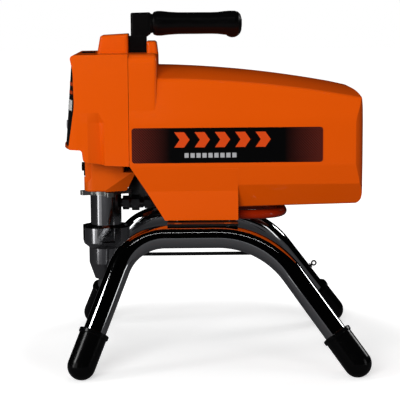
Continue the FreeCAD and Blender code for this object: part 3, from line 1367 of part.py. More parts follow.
def hose_ferrule():
    """Crimped ferrule of the hose at the filter."""
    ring = rod_x(-67.9, -62.9, HOSE_Y, 206.0, 6.8).cut(rod_x(-69, -62, HOSE_Y, 206.0, 5.0))
    return ring


def filter_bowl():
    """Screw-on bowl with grip flutes."""
    low = MANIFOLD_Z[0]
    bowl = rod_z(BOWL_Z, low, FILTER_X, FILTER_Y, FILTER_R - 0.5)
    bowl = soften(bowl, 4.0, lambda e: e.Curve.TypeId == "Part::GeomCircle" and middle_of(e).z < BOWL_Z + 1)
    bowl = union([bowl, rod_z(low - 1, low + 8, FILTER_X, FILTER_Y, 15.0)])
    bowl = bowl.cut(rod_z(BOWL_Z + 5, low + 9, FILTER_X, FILTER_Y, 12.0))
    for k in range(16):
        a = math.radians(22.5 * k)
        x = FILTER_X + (FILTER_R + 0.4) * math.cos(a)
        y = FILTER_Y + (FILTER_R + 0.4) * math.sin(a)
        bowl = bowl.cut(rod_z(BOWL_Z + 5, low - 4, x, y, 1.6))
    return bowl


def filter_element():
    """Ribbed cage of the filter sleeve."""
    low, high = BOWL_Z + 5.5, MANIFOLD_Z[0] + 7.5
    tube = rod_z(low, high, FILTER_X, FILTER_Y, 9.0)
    for k in range(7):
        z = low + 2.5 + 3.1 * k
        groove = rod_z(z, z + 1.5, FILTER_X, FILTER_Y, 10).cut(rod_z(z - 1, z + 3, FILTER_X, FILTER_Y, 8.2))
        tube = tube.cut(groove)
    return tube.cut(rod_z(low - 1, high + 1, FILTER_X, FILTER_Y, 6.5))


def gun_nipple():
    """Male outlet for a spray hose, on the far side."""
    pipe = rod_y(70.0, 108.0, FILTER_X, GUN_Z, 5.0)
    nose = rod_y(94.0, 108.0, FILTER_X, GUN_Z, GUN_R)
    hexed = hexagon((FILTER_X, 87.0, GUN_Z), (0, 1, 0), 17.0, 7.5)
    body = union([pipe, nose, hexed])
    return body.cut(rod_y(69.0, 109.0, FILTER_X, GUN_Z, 3.0))


PRIME_X, PRIME_Z = -75.0, 227.0


def prime_valve():
    """Valve body with a drain spout, behind the manifold's arm."""
    neck = rod_y(FILTER_Y + 13, 78.0, PRIME_X, PRIME_Z, 7.0)
    hexed = hexagon((PRIME_X, 64.0, PRIME_Z), (0, 1, 0), 17.0, 11.0)
    spout = union([rod_z(194.0, PRIME_Z, PRIME_X, 61.5, 4.5), rod_z(216.0, PRIME_Z, PRIME_X, 61.5, 5.5)])
    body = union([neck, hexed, spout])
    body = body.cut(rod_z(193.0, PRIME_Z, PRIME_X, 61.5, 2.6))
    body = body.cut(rod_z(190.0, 240.0, FILTER_X, FILTER_Y, FILTER_R + 1))
    return body.cut(rod_y(68.0, 90.0, PRIME_X, PRIME_Z, 4.0 + FIT))


def prime_lever():
    """Quarter-turn lever: hub outside the cover, stem inside the valve."""
    y0 = COVER_Y + 1.4
    hub = rod_y(y0, y0 + 12, PRIME_X, PRIME_Z, 10.0)
    hub = soften(hub, 1.5, lambda e: e.Curve.TypeId == "Part::GeomCircle" and middle_of(e).y > y0 + 11)
    wing = prism_y([
        (PRIME_X - 5.0, PRIME_Z - 5, 2), (PRIME_X + 28.0, PRIME_Z - 4, 3.5),
        (PRIME_X + 28.0, PRIME_Z + 4, 3.5), (PRIME_X - 5.0, PRIME_Z + 5, 2),
    ], y0 + 4, y0 + 12)
    stem = rod_y(69.0, y0 + 1, PRIME_X, PRIME_Z, 4.0)
    return union([hub, wing, stem])


def pressure_sensor():
    """Sensor screwed into the manifold's arm, above the hose."""
    stub = rod_x(-68.0, -60.0, HOSE_Y, SENSOR_Z, 6.0)
    can = rod_x(-60.0, -42.0, HOSE_Y, SENSOR_Z, 7.5)
    return union([stub, can, hexagon((-65.0, HOSE_Y, SENSOR_Z), (1, 0, 0), 15.0, 4.0)])


GUARD_Z = 256.5


def rod_guard():
    """Small guard plate over the upper edge of the service window."""
    plate = prism_x([
        (-31, 247, 3), (31, 247, 3), (31, 264, 2), (-31, 264, 2),
    ], CASE_FACE_X - 2.0, CASE_FACE_X)
    return plate.cut(rod_x(-190, -170, 0, GUARD_Z, 2.0))


def guard_knob():
    """Thumb screw of the guard."""
    face = CASE_FACE_X
    head = rod_x(face - 6.6, face - 2.0, 0, GUARD_Z, 6.0)
    for k in range(10):
        a = math.radians(36 * k)
        head = head.cut(rod_x(face - 8, face - 1, 6.6 * math.cos(a), GUARD_Z + 6.6 * math.sin(a), 1.1))
    return union([head, rod_x(face - 2.5, face + 2.0, 0, GUARD_Z, 2.0)])


GLAND_X = 194.0              # just behind the bowed rear wall
GLAND_Y, GLAND_Z, GLAND_R = 50.0, 240.0, 7.0


def cord_gland():
    """Gland in the cover's rear wall, low on the far side."""
    body = rod_x(GLAND_X - 13.0, GLAND_X + 9.0, GLAND_Y, GLAND_Z, GLAND_R)
    inner_nut = hexagon((GLAND_X - 10.0, GLAND_Y, GLAND_Z), (1, 0, 0), 18.0, 4.5)
    flange = rod_x(GLAND_X, GLAND_X + 2.4, GLAND_Y, GLAND_Z, 9.5)
    gland = union([body, inner_nut, flange])
    return gland.cut(rod_x(GLAND_X - 14.0, GLAND_X + 10.0, GLAND_Y, GLAND_Z, 4.2))


# ---- build everything ---------------------------------------------------------------------------------
def build():
    """Make every node and write it out."""
    keep("hoop_near", hoop_near())
    keep("hoop_far", hoop_far())
    boots = [boot_near("front"), boot_near("rear")]
    keep("boots", Part.makeCompound(boots + [mirrored_y(b) for b in boots]))
    keep("tie_rod", Part.makeCompound([tie_rod(), clip_screw()]))
    keep("pan", pan())
    keep("stand_bolts", Part.makeCompound([pan_bolts(), cradle_screws()]))
    keep("motor_cradle", cradle())
    keep("motor_cover", motor_cover())
    badge = badge_near()
    keep("badges", Part.makeCompound([badge, mirrored_y(badge)]))
    keep("cord_gland", cord_gland())
    keep("front_cover", front_cover())
    keep("front_panel", front_panel())
    keep("display_window", display_window())
    for name, y in zip(("near", "far"), BUTTON_Y):
        keep("button_" + name, panel_button(y))
    keep("control_board", Part.makeCompound([control_board(), control_pot()]))
    keep("switch_frame", switch_frame())
    keep("switch_rocker", switch_rocker())
    keep("pressure_knob", knob())
    keep("handle_post", Part.makeCompound([handle_post(), handle_core()]))
    keep("handle_grip", handle_grip())
    keep("drive_casting", drive_casting())
    keep("gear_case", gear_case())
    keep("motor_flange", motor_flange())
    keep("screws", Part.makeCompound([case_screws(), cover_screws()]))
    bearings = [
        ball_bearing(-136.0, -125.0, 0, CRANK_Z, 10.0, BEARING_R["crank"]),
        ball_bearing(-131.0, -124.5, MID_Y, MID_Z, 5.0, BEARING_R["mid"]),
        ball_bearing(-84.0, -76.0, 0, MOTOR_Z, 5.5, BEARING_R["motor"]),
        ball_bearing(CAN_X1 - 5.0, CAN_X1 + 3.0, 0, MOTOR_Z, 5.5, BEARING_R["motor"]),
    ]
    keep("ball_bearings", Part.makeCompound(bearings))
    keep("crank_gear", crank_gear())
    keep("crank_shaft", crank_shaft())
    keep("intermediate_gear", intermediate_shaft())
    keep("motor_can", motor_can())
    keep("motor_end_bell", end_bell())
    keep("stator_core", stator_core())
    keep("windings", windings())
    keep("rotor_shaft", rotor_shaft())
    keep("rotor_core", rotor_core())
    keep("fan", fan())
    keep("connecting_rod", connecting_rod())
    keep("pump_rod", pump_rod())
    keep("piston_seals", piston_seals())
    keep("wrist_pin", wrist_pin())
    keep("piston_ball", piston_ball())
    keep("inlet_ball", inlet_ball())
    keep("upper_cylinder", upper_cylinder())
    keep("throat_packing", throat_packing())
    keep("packing_nut", packing_nut())
    keep("ring_nut", ring_nut())
    keep("pump_block", pump_block())
    keep("inlet_housing", inlet_housing())
    keep("inlet_seat", inlet_seat())
    keep("outlet_fitting", outlet_fitting())
    keep("hose", hose())
    keep("hose_ends", Part.makeCompound([hose_nut(), hose_ferrule()]))
    keep("filter_manifold", filter_manifold())
    keep("filter_bowl", filter_bowl())
    keep("filter_element", filter_element())
    keep("gun_nipple", gun_nipple())
    keep("prime_valve", prime_valve())
    keep("prime_lever", prime_lever())
    keep("pressure_sensor", pressure_sensor())
    keep("rod_guard", Part.makeCompound([rod_guard(), guard_knob()]))
    for name, shape in NODES.items():
        shape.exportStep("parts/" + name + ".step")
    print(len(NODES), "nodes")


build()
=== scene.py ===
import json
import math

import bpy
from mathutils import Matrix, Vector


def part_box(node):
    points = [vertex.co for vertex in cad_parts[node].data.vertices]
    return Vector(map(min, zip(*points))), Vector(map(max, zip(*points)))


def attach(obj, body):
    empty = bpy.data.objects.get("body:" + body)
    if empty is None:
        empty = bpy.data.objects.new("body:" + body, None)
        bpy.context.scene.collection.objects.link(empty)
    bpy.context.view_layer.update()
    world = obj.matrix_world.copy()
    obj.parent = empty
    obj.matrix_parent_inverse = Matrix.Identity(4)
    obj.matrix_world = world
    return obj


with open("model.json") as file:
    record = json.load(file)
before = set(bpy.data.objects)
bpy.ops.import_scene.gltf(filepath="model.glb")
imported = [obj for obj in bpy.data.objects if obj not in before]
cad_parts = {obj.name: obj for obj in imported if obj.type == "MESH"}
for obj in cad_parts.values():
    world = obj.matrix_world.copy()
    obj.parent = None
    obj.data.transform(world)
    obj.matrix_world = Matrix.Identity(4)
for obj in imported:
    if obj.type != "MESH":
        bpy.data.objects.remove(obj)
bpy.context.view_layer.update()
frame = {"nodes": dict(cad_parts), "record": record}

# Airless paint sprayer: finishes, small details, studio and camera.
# Metres; -X is the pump end, -Y the near side, +Z up, as in the frame.

NODES = frame["nodes"]
scene = bpy.context.scene


# ---- camera -------------------------------------------------------------------------------
CAMERA_AT = (-0.0461, -1.9122, 0.4799)
CAMERA_PITCH = 8.077             # degrees down
CAMERA_YAW = 0.783               # degrees towards +X
CAMERA_ROLL = 0.390
CAMERA_LENS = 126.4              # on a 36 mm sensor


def make_camera():
    """Long lens, a little above the machine and slightly turned."""
    data = bpy.data.cameras.new("camera")
    data.sensor_width = 36.0
    data.lens = CAMERA_LENS
    data.clip_start = 0.05
    data.clip_end = 50.0
    camera = bpy.data.objects.new("camera", data)
    scene.collection.objects.link(camera)
    camera.location = CAMERA_AT
    camera.rotation_euler = (
        math.radians(90.0 - CAMERA_PITCH), math.radians(CAMERA_ROLL), math.radians(-CAMERA_YAW))
    scene.camera = camera


# ---- studio -------------------------------------------------------------------------------
AIM = (0.0, 0.0, 0.25)           # lights point at the middle of the machine
FLOOR_FADE = (0.25, 0.42)        # the floor goes to plain white between these distances
FLOOR_GLOW = 0.52                # how bright it shines of itself under the machine
FLOOR_SIZE = 24.0
FLOOR_WHITE = (0.8, 0.8, 0.8, 1)
FLOOR_DARK = (0.10, 0.10, 0.105, 1)
SKY_FOR_EYE, SKY_FOR_LIGHT, SKY_FOR_GLOSS = 1.0, 0.10, 0.0008


def area_light(name, at, size, power, size_y=None, in_reflections=True, aim=AIM):
    """Square or oblong light that points at the machine and that the camera doesn't see."""
    data = bpy.data.lights.new(name, "AREA")
    data.energy = power
    data.size = size
    if size_y is not None:
        data.shape = "RECTANGLE"
        data.size_y = size_y
    lamp = bpy.data.objects.new(name, data)
    scene.collection.objects.link(lamp)
    lamp.location = at
    lamp.rotation_euler = (Vector(aim) - Vector(at)).to_track_quat("-Z", "Y").to_euler()
    lamp.visible_camera = False
    lamp.visible_glossy = in_reflections


def background(tree, level):
    """White background shader of a given level."""
    node = tree.nodes.new("ShaderNodeBackground")
    node.inputs["Color"].default_value = (1, 1, 1, 1)
    node.inputs["Strength"].default_value = level
    return node


def make_world():
    """White behind the machine, a dim studio in reflections, a little light all round."""
    world = bpy.data.worlds.new("studio")
    scene.world = world
    world.use_nodes = True
    tree = world.node_tree
    tree.nodes.clear()
    out = tree.nodes.new("ShaderNodeOutputWorld")
    path = tree.nodes.new("ShaderNodeLightPath")
    dim = tree.nodes.new("ShaderNodeMixShader")
    tree.links.new(path.outputs["Is Glossy Ray"], dim.inputs["Fac"])
    tree.links.new(background(tree, SKY_FOR_LIGHT).outputs[0], dim.inputs[1])
    tree.links.new(background(tree, SKY_FOR_GLOSS).outputs[0], dim.inputs[2])
    mix = tree.nodes.new("ShaderNodeMixShader")
    tree.links.new(path.outputs["Is Camera Ray"], mix.inputs["Fac"])
    tree.links.new(dim.outputs[0], mix.inputs[1])
    tree.links.new(background(tree, SKY_FOR_EYE).outputs[0], mix.inputs[2])
    tree.links.new(mix.outputs[0], out.inputs["Surface"])


def make_floor():
    """White to the eye with soft shadows, dark grey in reflections."""
    bpy.ops.mesh.primitive_plane_add(size=FLOOR_SIZE, location=(0, 0, 0))
    floor = bpy.context.object
    floor.name = "studio_floor"
    material = bpy.data.materials.new("pale_floor")
    material.use_nodes = True
    tree = material.node_tree
    tree.nodes.clear()
    out = tree.nodes.new("ShaderNodeOutputMaterial")
    shader = tree.nodes.new("ShaderNodeBsdfPrincipled")
    shader.inputs["Base Color"].default_value = FLOOR_WHITE
    shader.inputs["Roughness"].default_value = 0.9
    shader.inputs["Specular IOR Level"].default_value = 0.0
    shader.inputs["Emission Color"].default_value = (1, 1, 1, 1)
    place = tree.nodes.new("ShaderNodeTexCoord")
    length = tree.nodes.new("ShaderNodeVectorMath")
    length.operation = "LENGTH"
    tree.links.new(place.outputs["Object"], length.inputs[0])
    fade = tree.nodes.new("ShaderNodeMapRange")
    fade.interpolation_type = "SMOOTHSTEP"
    fade.inputs["From Min"].default_value = FLOOR_FADE[0]
    fade.inputs["From Max"].default_value = FLOOR_FADE[1]
    fade.inputs["To Min"].default_value = FLOOR_GLOW
    fade.inputs["To Max"].default_value = 1.0
    tree.links.new(length.outputs["Value"], fade.inputs["Value"])
    tree.links.new(fade.outputs["Result"], shader.inputs["Emission Strength"])
    dark = tree.nodes.new("ShaderNodeBsdfDiffuse")
    dark.inputs["Color"].default_value = FLOOR_DARK
    path = tree.nodes.new("ShaderNodeLightPath")
    mix = tree.nodes.new("ShaderNodeMixShader")
    tree.links.new(path.outputs["Is Camera Ray"], mix.inputs["Fac"])
    tree.links.new(dark.outputs[0], mix.inputs[1])
    tree.links.new(shader.outputs[0], mix.inputs[2])
    tree.links.new(mix.outputs[0], out.inputs["Surface"])
    floor.data.materials.append(material)


def card(name, at, size, size_y, radiance):
    """Dim card for the chrome to mirror; its power follows from how bright it looks."""
    area_light(name, at, size, radiance * math.pi * size * size_y, size_y=size_y)


def make_lights():
    """Soft light from in front, and boxes and cards that draw the highlights on chrome and steel."""
    area_light("key", (-0.7, -2.3, 0.85), 1.1, 48.5, in_reflections=False)
    area_light("fill", (1.5, -2.4, 0.9), 1.0, 15.0, in_reflections=False)
    area_light("top", (0.1, 0.3, 2.2), 1.0, 6.0, in_reflections=False)
    area_light("left_box", (-1.9, -0.9, 1.3), 0.5, 7.0)
    area_light("rear_box", (2.0, 1.2, 1.1), 0.5, 5.0)
    card("left_card", (-0.79, -0.64, 0.22), 0.50, 0.55, 0.55)
    card("left_core", (-0.86, -0.48, 0.22), 0.14, 0.55, 2.6)
    card("right_card", (0.75, -0.45, 0.20), 0.10, 0.40, 1.6)
    card("high_strip", (0.0, -1.5, 2.1), 1.6, 0.04, 3.0)


def make_studio():
    """World, floor and lights, with plain colours."""
    make_world()
    make_floor()
    make_lights()
    scene.view_settings.view_transform = "Standard"


# ---- shared shader effects ----------------------------------------------------------------------
def new_group(name, inputs, outputs):
    """Empty shader group with float inputs {name: default} and outputs {name: kind}."""
    group = bpy.data.node_groups.new(name, "ShaderNodeTree")
    for label, value in inputs.items():
        socket = group.interface.new_socket(label, in_out="INPUT", socket_type="NodeSocketFloat")
        socket.default_value = value
    for label, kind in outputs.items():
        group.interface.new_socket(label, in_out="OUTPUT", socket_type=kind)
    start = group.nodes.new("NodeGroupInput")
    end = group.nodes.new("NodeGroupOutput")
    return group, start, end


def math_node(tree, operation, first, second=None, clamp=False):
    """Output of a math node whose inputs are numbers or sockets."""
    node = tree.nodes.new("ShaderNodeMath")
    node.operation = operation
    node.use_clamp = clamp
    for socket, value in zip(node.inputs, (first, second)):
        if value is None:
            continue
        if isinstance(value, (int, float)):
            socket.default_value = value
        else:
            tree.links.new(value, socket)
    return node.outputs[0]


def object_noise(tree, scale, detail=2.0, rough=0.5):
    """Noise that is fixed to the piece; the scale is a number or a socket."""
    place = tree.nodes.new("ShaderNodeTexCoord")
    noise = tree.nodes.new("ShaderNodeTexNoise")
    noise.inputs["Detail"].default_value = detail
    noise.inputs["Roughness"].default_value = rough
    if isinstance(scale, (int, float)):
        noise.inputs["Scale"].default_value = scale
    else:
        tree.links.new(scale, noise.inputs["Scale"])
    tree.links.new(place.outputs["Object"], noise.inputs["Vector"])
    return noise.outputs["Fac"]


def build_edge_group():
    """Mask that is 1 on convex edges within a radius, broken up by noise."""
    group, start, end = new_group(
        "edge_wear", {"Radius": 0.0012, "Amount": 0.5}, {"Mask": "NodeSocketFloat"})
    bevel = group.nodes.new("ShaderNodeBevel")
    bevel.samples = 4
    group.links.new(start.outputs["Radius"], bevel.inputs["Radius"])
    geometry = group.nodes.new("ShaderNodeNewGeometry")
    dot = group.nodes.new("ShaderNodeVectorMath")
    dot.operation = "DOT_PRODUCT"
    group.links.new(bevel.outputs["Normal"], dot.inputs[0])
    group.links.new(geometry.outputs["Normal"], dot.inputs[1])
    bent = math_node(group, "SUBTRACT", 1.0, dot.outputs["Value"])
    bent = math_node(group, "MULTIPLY", bent, 9.0, True)
    broken = math_node(group, "MULTIPLY", object_noise(group, 160.0, 4.0), bent)
    broken = math_node(group, "MULTIPLY", broken, start.outputs["Amount"], True)
    group.links.new(broken, end.inputs["Mask"])
    return group


def build_grain_group():
    """Height of a fine moulded or sprayed grain, and a slow value for roughness."""
    group, start, end = new_group(
        "fine_grain", {"Scale": 900.0, "Slow Scale": 18.0, "Low": 0.3, "High": 0.4},
        {"Height": "NodeSocketFloat", "Roughness": "NodeSocketFloat"})
    group.links.new(object_noise(group, start.outputs["Scale"], 3.0), end.inputs["Height"])
    slow = object_noise(group, start.outputs["Slow Scale"], 5.0, 0.6)
    span = math_node(group, "SUBTRACT", start.outputs["High"], start.outputs["Low"])
    value = math_node(group, "MULTIPLY", slow, span)
    value = math_node(group, "ADD", value, start.outputs["Low"], True)
    group.links.new(value, end.inputs["Roughness"])
    return group


def build_dust_group():
    """Mask of light dust on faces that look up."""
    group, start, end = new_group("settled_dust", {"Amount": 0.2}, {"Mask": "NodeSocketFloat"})
    geometry = group.nodes.new("ShaderNodeNewGeometry")
    split = group.nodes.new("ShaderNodeSeparateXYZ")
    group.links.new(geometry.outputs["Normal"], split.inputs[0])
    up = math_node(group, "MULTIPLY", split.outputs["Z"], 1.0, True)
    up = math_node(group, "POWER", up, 3.0)
    patchy = object_noise(group, 45.0, 6.0, 0.65)
    mask = math_node(group, "MULTIPLY", up, patchy)
    mask = math_node(group, "MULTIPLY", mask, start.outputs["Amount"], True)
    group.links.new(mask, end.inputs["Mask"])
    return group


def build_hatch_group():
    """Fine crossed diagonal lines at both ends of the badge, fading to its middle."""
    group, start, end = new_group(
        "cross_hatch", {"Left": -0.11, "Right": 0.14, "Fade": 0.05, "Pitch": 0.0034},
        {"Mask": "NodeSocketFloat"})
    place = group.nodes.new("ShaderNodeTexCoord")
    split = group.nodes.new("ShaderNodeSeparateXYZ")
    group.links.new(place.outputs["Object"], split.inputs[0])
    along, up = split.outputs["X"], split.outputs["Z"]
    turns = math_node(group, "DIVIDE", 2 * math.pi, start.outputs["Pitch"])
    lines = []
    for operation in ("ADD", "SUBTRACT"):
        diagonal = math_node(group, operation, along, up)
        wave = math_node(group, "SINE", math_node(group, "MULTIPLY", diagonal, turns))
        lines.append(math_node(group, "MULTIPLY", math_node(group, "ADD", wave, -0.1), 1.6, True))
    weave = math_node(group, "MAXIMUM", lines[0], math_node(group, "MULTIPLY", lines[1], 0.45))
    from_left = math_node(group, "SUBTRACT", along, start.outputs["Left"])
    from_right = math_node(group, "SUBTRACT", start.outputs["Right"], along)
    nearest = math_node(group, "MINIMUM", from_left, from_right)
    inward = math_node(group, "DIVIDE", nearest, start.outputs["Fade"], True)
    outer = math_node(group, "SUBTRACT", 1.0, inward)
    group.links.new(math_node(group, "MULTIPLY", weave, outer, True), end.inputs["Mask"])
    return group


EDGE = build_edge_group()
GRAIN = build_grain_group()
DUST = build_dust_group()
HATCH = build_hatch_group()


def place_group(tree, group, **values):
    """Group node with its own values; an underscore stands for a space in an input's name."""
    node = tree.nodes.new("ShaderNodeGroup")
    node.node_tree = group
    for label, value in values.items():
        node.inputs[label.replace("_", " ")].default_value = value
    return node


def mix_colours(tree, mask, first, second):
    """Mix of two colours or colour sockets by a mask."""
    mix = tree.nodes.new("ShaderNodeMix")
    mix.data_type = "RGBA"
    tree.links.new(mask, mix.inputs["Factor"])
    for socket, value in ((mix.inputs["A"], first), (mix.inputs["B"], second)):
        if isinstance(value, tuple):
            socket.default_value = (*value, 1)
        else:
            tree.links.new(value, socket)
    return mix.outputs["Result"]


GRAIN_DEPTH = 0.0004
TINT_SCALE = 9.0                 # patches of slightly lighter and darker colour
DUST_COLOUR = (0.45, 0.43, 0.40)
HATCH_COLOUR = (0.15, 0.022, 0.014)


def finish_material(name, base, worn=None, metallic=0.0, rough=(0.3, 0.4), grain=900.0, bump=0.05,
                    slow=18.0, wear=0.4, wear_radius=0.0008, dust=0.15, coat=0.0, coat_rough=0.05,
                    tint=0.08, specular=0.5):
    """A finish with grain, slow roughness change, edge wear and a little dust."""
    material = bpy.data.materials.new(name)
    material.use_nodes = True
    tree = material.node_tree
    shader = tree.nodes["Principled BSDF"]
    grains = place_group(tree, GRAIN, Scale=grain, Slow_Scale=slow, Low=rough[0], High=rough[1])
    tree.links.new(grains.outputs["Roughness"], shader.inputs["Roughness"])
    if bump > 0:
        bumps = tree.nodes.new("ShaderNodeBump")
        bumps.inputs["Strength"].default_value = bump
        bumps.inputs["Distance"].default_value = GRAIN_DEPTH
        tree.links.new(grains.outputs["Height"], bumps.inputs["Height"])
        tree.links.new(bumps.outputs["Normal"], shader.inputs["Normal"])
    darker = tuple(c * (1 - tint) for c in base)
    lighter = tuple(min(1.0, c * (1 + tint)) for c in base)
    colour = mix_colours(tree, object_noise(tree, TINT_SCALE, 3.0), darker, lighter)
    if worn is not None and wear > 0:
        edges = place_group(tree, EDGE, Radius=wear_radius, Amount=wear)
        colour = mix_colours(tree, edges.outputs["Mask"], colour, worn)
    if dust > 0:
        dusty = place_group(tree, DUST, Amount=dust)
        colour = mix_colours(tree, dusty.outputs["Mask"], colour, DUST_COLOUR)
    tree.links.new(colour, shader.inputs["Base Color"])
    shader.inputs["Metallic"].default_value = metallic
    shader.inputs["Coat Weight"].default_value = coat
    shader.inputs["Coat Roughness"].default_value = coat_rough
    shader.inputs["Specular IOR Level"].default_value = specular
    return material


def lay_hatching(material):
    """Red-brown hatching over the badge's black."""
    tree = material.node_tree
    socket = tree.nodes["Principled BSDF"].inputs["Base Color"]
    under = socket.links[0].from_socket
    low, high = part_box("badges")
    lines = place_group(tree, HATCH, Left=low[0], Right=high[0])
    tree.links.new(mix_colours(tree, lines.outputs["Mask"], under, HATCH_COLOUR), socket)


# ---- finishes, one per material slot, and three for the printed marks ---------------------------------
def make_finishes():
    """Every finish by name: colours of the plain and the worn face, then the look."""
    made = {}

    def add(name, base, worn=None, **look):
        made[name] = finish_material(name, base, worn, **look)

    add("orange_shell", (0.66, 0.078, 0.0003), (0.80, 0.20, 0.03), rough=(0.30, 0.38), grain=1400.0,
        bump=0.03, wear=0.3, dust=0.004, coat=0.25, coat_rough=0.08, tint=0.03, specular=0.2)
    add("orange_cast", (0.58, 0.075, 0.0006), (0.75, 0.20, 0.04), rough=(0.36, 0.48), grain=700.0,
        bump=0.10, wear=0.3, dust=0.02, coat=0.08, coat_rough=0.2, tint=0.05, specular=0.25)
    add("chrome_tube", (0.60, 0.61, 0.62), metallic=1.0, rough=(0.03, 0.08), grain=300.0, bump=0.012,
        slow=40.0, dust=0.0, tint=0.03)
    add("boot_rubber", (0.0010, 0.0010, 0.0011), (0.005, 0.005, 0.005), rough=(0.16, 0.24), grain=1200.0,
        bump=0.05, dust=0.001, specular=0.3)
    add("black_steel", (0.004, 0.004, 0.0042), (0.06, 0.06, 0.06), rough=(0.3, 0.45), grain=900.0,
        bump=0.06, dust=0.03)
    add("badge_black", (0.0012, 0.0012, 0.0013), rough=(0.30, 0.38), grain=1800.0, bump=0.01, dust=0.0,
        specular=0.15)
    add("zinc_steel", (0.50, 0.50, 0.48), (0.7, 0.7, 0.68), metallic=1.0, rough=(0.25, 0.40), grain=600.0,
        bump=0.05, dust=0.03)
    add("black_plastic", (0.0022, 0.0022, 0.0023), (0.015, 0.015, 0.015), rough=(0.30, 0.40), grain=1500.0,
        bump=0.10, dust=0.002, specular=0.15)
    add("panel_black", (0.004, 0.004, 0.0045), (0.02, 0.02, 0.02), rough=(0.28, 0.36), grain=2000.0,
        bump=0.03, dust=0.01, specular=0.4)
    add("display_glass", (0.62, 0.66, 0.68), rough=(0.10, 0.16), grain=500.0, bump=0.0, dust=0.0,
        coat=0.6, coat_rough=0.03)
    add("button_grey", (0.16, 0.16, 0.17), rough=(0.45, 0.55), grain=1500.0, bump=0.05, dust=0.0)
    add("board_green", (0.02, 0.14, 0.05), rough=(0.3, 0.4), grain=500.0, bump=0.03, dust=0.1)
    add("grip_black", (0.0016, 0.0016, 0.0017), rough=(0.24, 0.34), grain=1300.0, bump=0.08, dust=0.001,
        specular=0.25)
    add("bare_cast", (0.16, 0.16, 0.165), (0.4, 0.4, 0.4), metallic=1.0, rough=(0.16, 0.28), grain=500.0,
        bump=0.05, dust=0.0)
    add("gear_steel", (0.36, 0.36, 0.37), (0.6, 0.6, 0.6), metallic=1.0, rough=(0.22, 0.34), grain=900.0,
        bump=0.04)
    add("motor_steel", (0.02, 0.02, 0.022), (0.2, 0.2, 0.2), rough=(0.35, 0.45), grain=900.0, bump=0.05)
    add("copper_wire", (0.55, 0.20, 0.08), metallic=0.8, rough=(0.3, 0.4), grain=600.0, bump=0.2)
    add("core_steel", (0.22, 0.22, 0.23), metallic=0.9, rough=(0.4, 0.5), grain=800.0, bump=0.1)
    add("fan_plastic", (0.03, 0.03, 0.03), rough=(0.4, 0.5), grain=900.0, bump=0.05)
    add("pump_steel", (0.32, 0.32, 0.33), (0.5, 0.5, 0.5), metallic=1.0, rough=(0.10, 0.18), grain=700.0,
        bump=0.02, dust=0.0)
    add("rod_chrome", (0.65, 0.66, 0.68), metallic=1.0, rough=(0.06, 0.12), grain=700.0, bump=0.01)
    add("packing", (0.6, 0.56, 0.45), rough=(0.5, 0.6), grain=900.0, bump=0.1)
    add("carbide", (0.25, 0.25, 0.26), metallic=1.0, rough=(0.12, 0.2), grain=900.0, bump=0.0)
    # hose_orange is painted shade as well as the hose's own red-orange: its colour is darkened well below
    # the cover's orange, to the shaded tone the hose has where it sits under the cover
    add("hose_orange", (0.26, 0.012, 0.0004), rough=(0.16, 0.24), grain=900.0, bump=0.04, dust=0.0,
        coat=0.25, specular=0.3)
    add("mark_orange", (0.60, 0.055, 0.004), rough=(0.35, 0.45), grain=1500.0, bump=0.02, dust=0.0)
    add("mark_grey", (0.36, 0.36, 0.37), rough=(0.35, 0.45), grain=1500.0, bump=0.02, dust=0.0)
    add("mark_white", (0.72, 0.72, 0.70), rough=(0.4, 0.5), grain=1500.0, bump=0.02, dust=0.0)
    add("filter_black", (0.02, 0.02, 0.021), (0.2, 0.2, 0.2), rough=(0.3, 0.4), grain=700.0, bump=0.1)
    add("filter_mesh", (0.5, 0.5, 0.48), metallic=1.0, rough=(0.3, 0.4), grain=900.0, bump=0.1)
    add("fitting_steel", (0.10, 0.10, 0.105), (0.5, 0.5, 0.5), metallic=1.0, rough=(0.26, 0.38),
        grain=800.0, bump=0.05, dust=0.02)
    return made


def dress_nodes(finishes):
    """Give each node of the design the finish that its record names."""
    for row in frame["record"]["subparts"]:
        node = NODES[row["node"]]
        for place in node.material_slots:
            place.material = finishes[row["material_slot"]]


# ---- printed marks and small raised signs ---------------------------------------------------------------
PRINT_THICKNESS = 0.0003
PRINT_LIFT = 0.00005             # keeps a print's back off the face
PRINT_EDGE = 0.00008
STANDOFF = 0.004                 # a strip starts this far out before it is laid on
SIGN_EDGE = 0.0002


def select_only(piece):
    """Only this piece selected and active, so that an operator acts on nothing else."""
    bpy.ops.object.select_all(action="DESELECT")
    piece.select_set(True)
    bpy.context.view_layer.objects.active = piece


def edit_all(piece):
    """Edit mode with the whole piece selected."""
    select_only(piece)
    bpy.ops.object.mode_set(mode="EDIT")
    bpy.ops.mesh.select_all(action="SELECT")


def apply_modifiers(piece):
    """Make every modifier part of the mesh, in order."""
    select_only(piece)
    for name in [m.name for m in piece.modifiers]:
        bpy.ops.object.modifier_apply(modifier=name)


def settle(piece, body, look):
    """Place in the mesh, own finish, and the body that carries it."""
    select_only(piece)
    bpy.ops.object.transform_apply(location=True, rotation=True, scale=True)
    piece.data.materials.clear()
    piece.data.materials.append(look)
    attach(piece, body)


def flat_strip(name, centre, width, height, facing, slant=0.0):
    """Subdivided strip that faces along an axis; slant leans its upper edge over."""
    bpy.ops.object.select_all(action="DESELECT")
    bpy.ops.mesh.primitive_grid_add(x_subdivisions=12, y_subdivisions=4, size=1.0, location=(0, 0, 0))
    strip = bpy.context.object
    strip.name = name
    turn = {"-Y": (90, 0, 0), "+Y": (90, 0, 180), "-X": (90, 0, -90)}[facing]
    strip.scale = (width, height, 1.0)
    bpy.ops.object.transform_apply(location=False, rotation=False, scale=True)
    if slant:
        for vertex in strip.data.vertices:
            vertex.co.x += slant * vertex.co.y
    strip.rotation_euler = [math.radians(a) for a in turn]
    strip.location = centre
    bpy.ops.object.transform_apply(location=True, rotation=True, scale=True)
    return strip


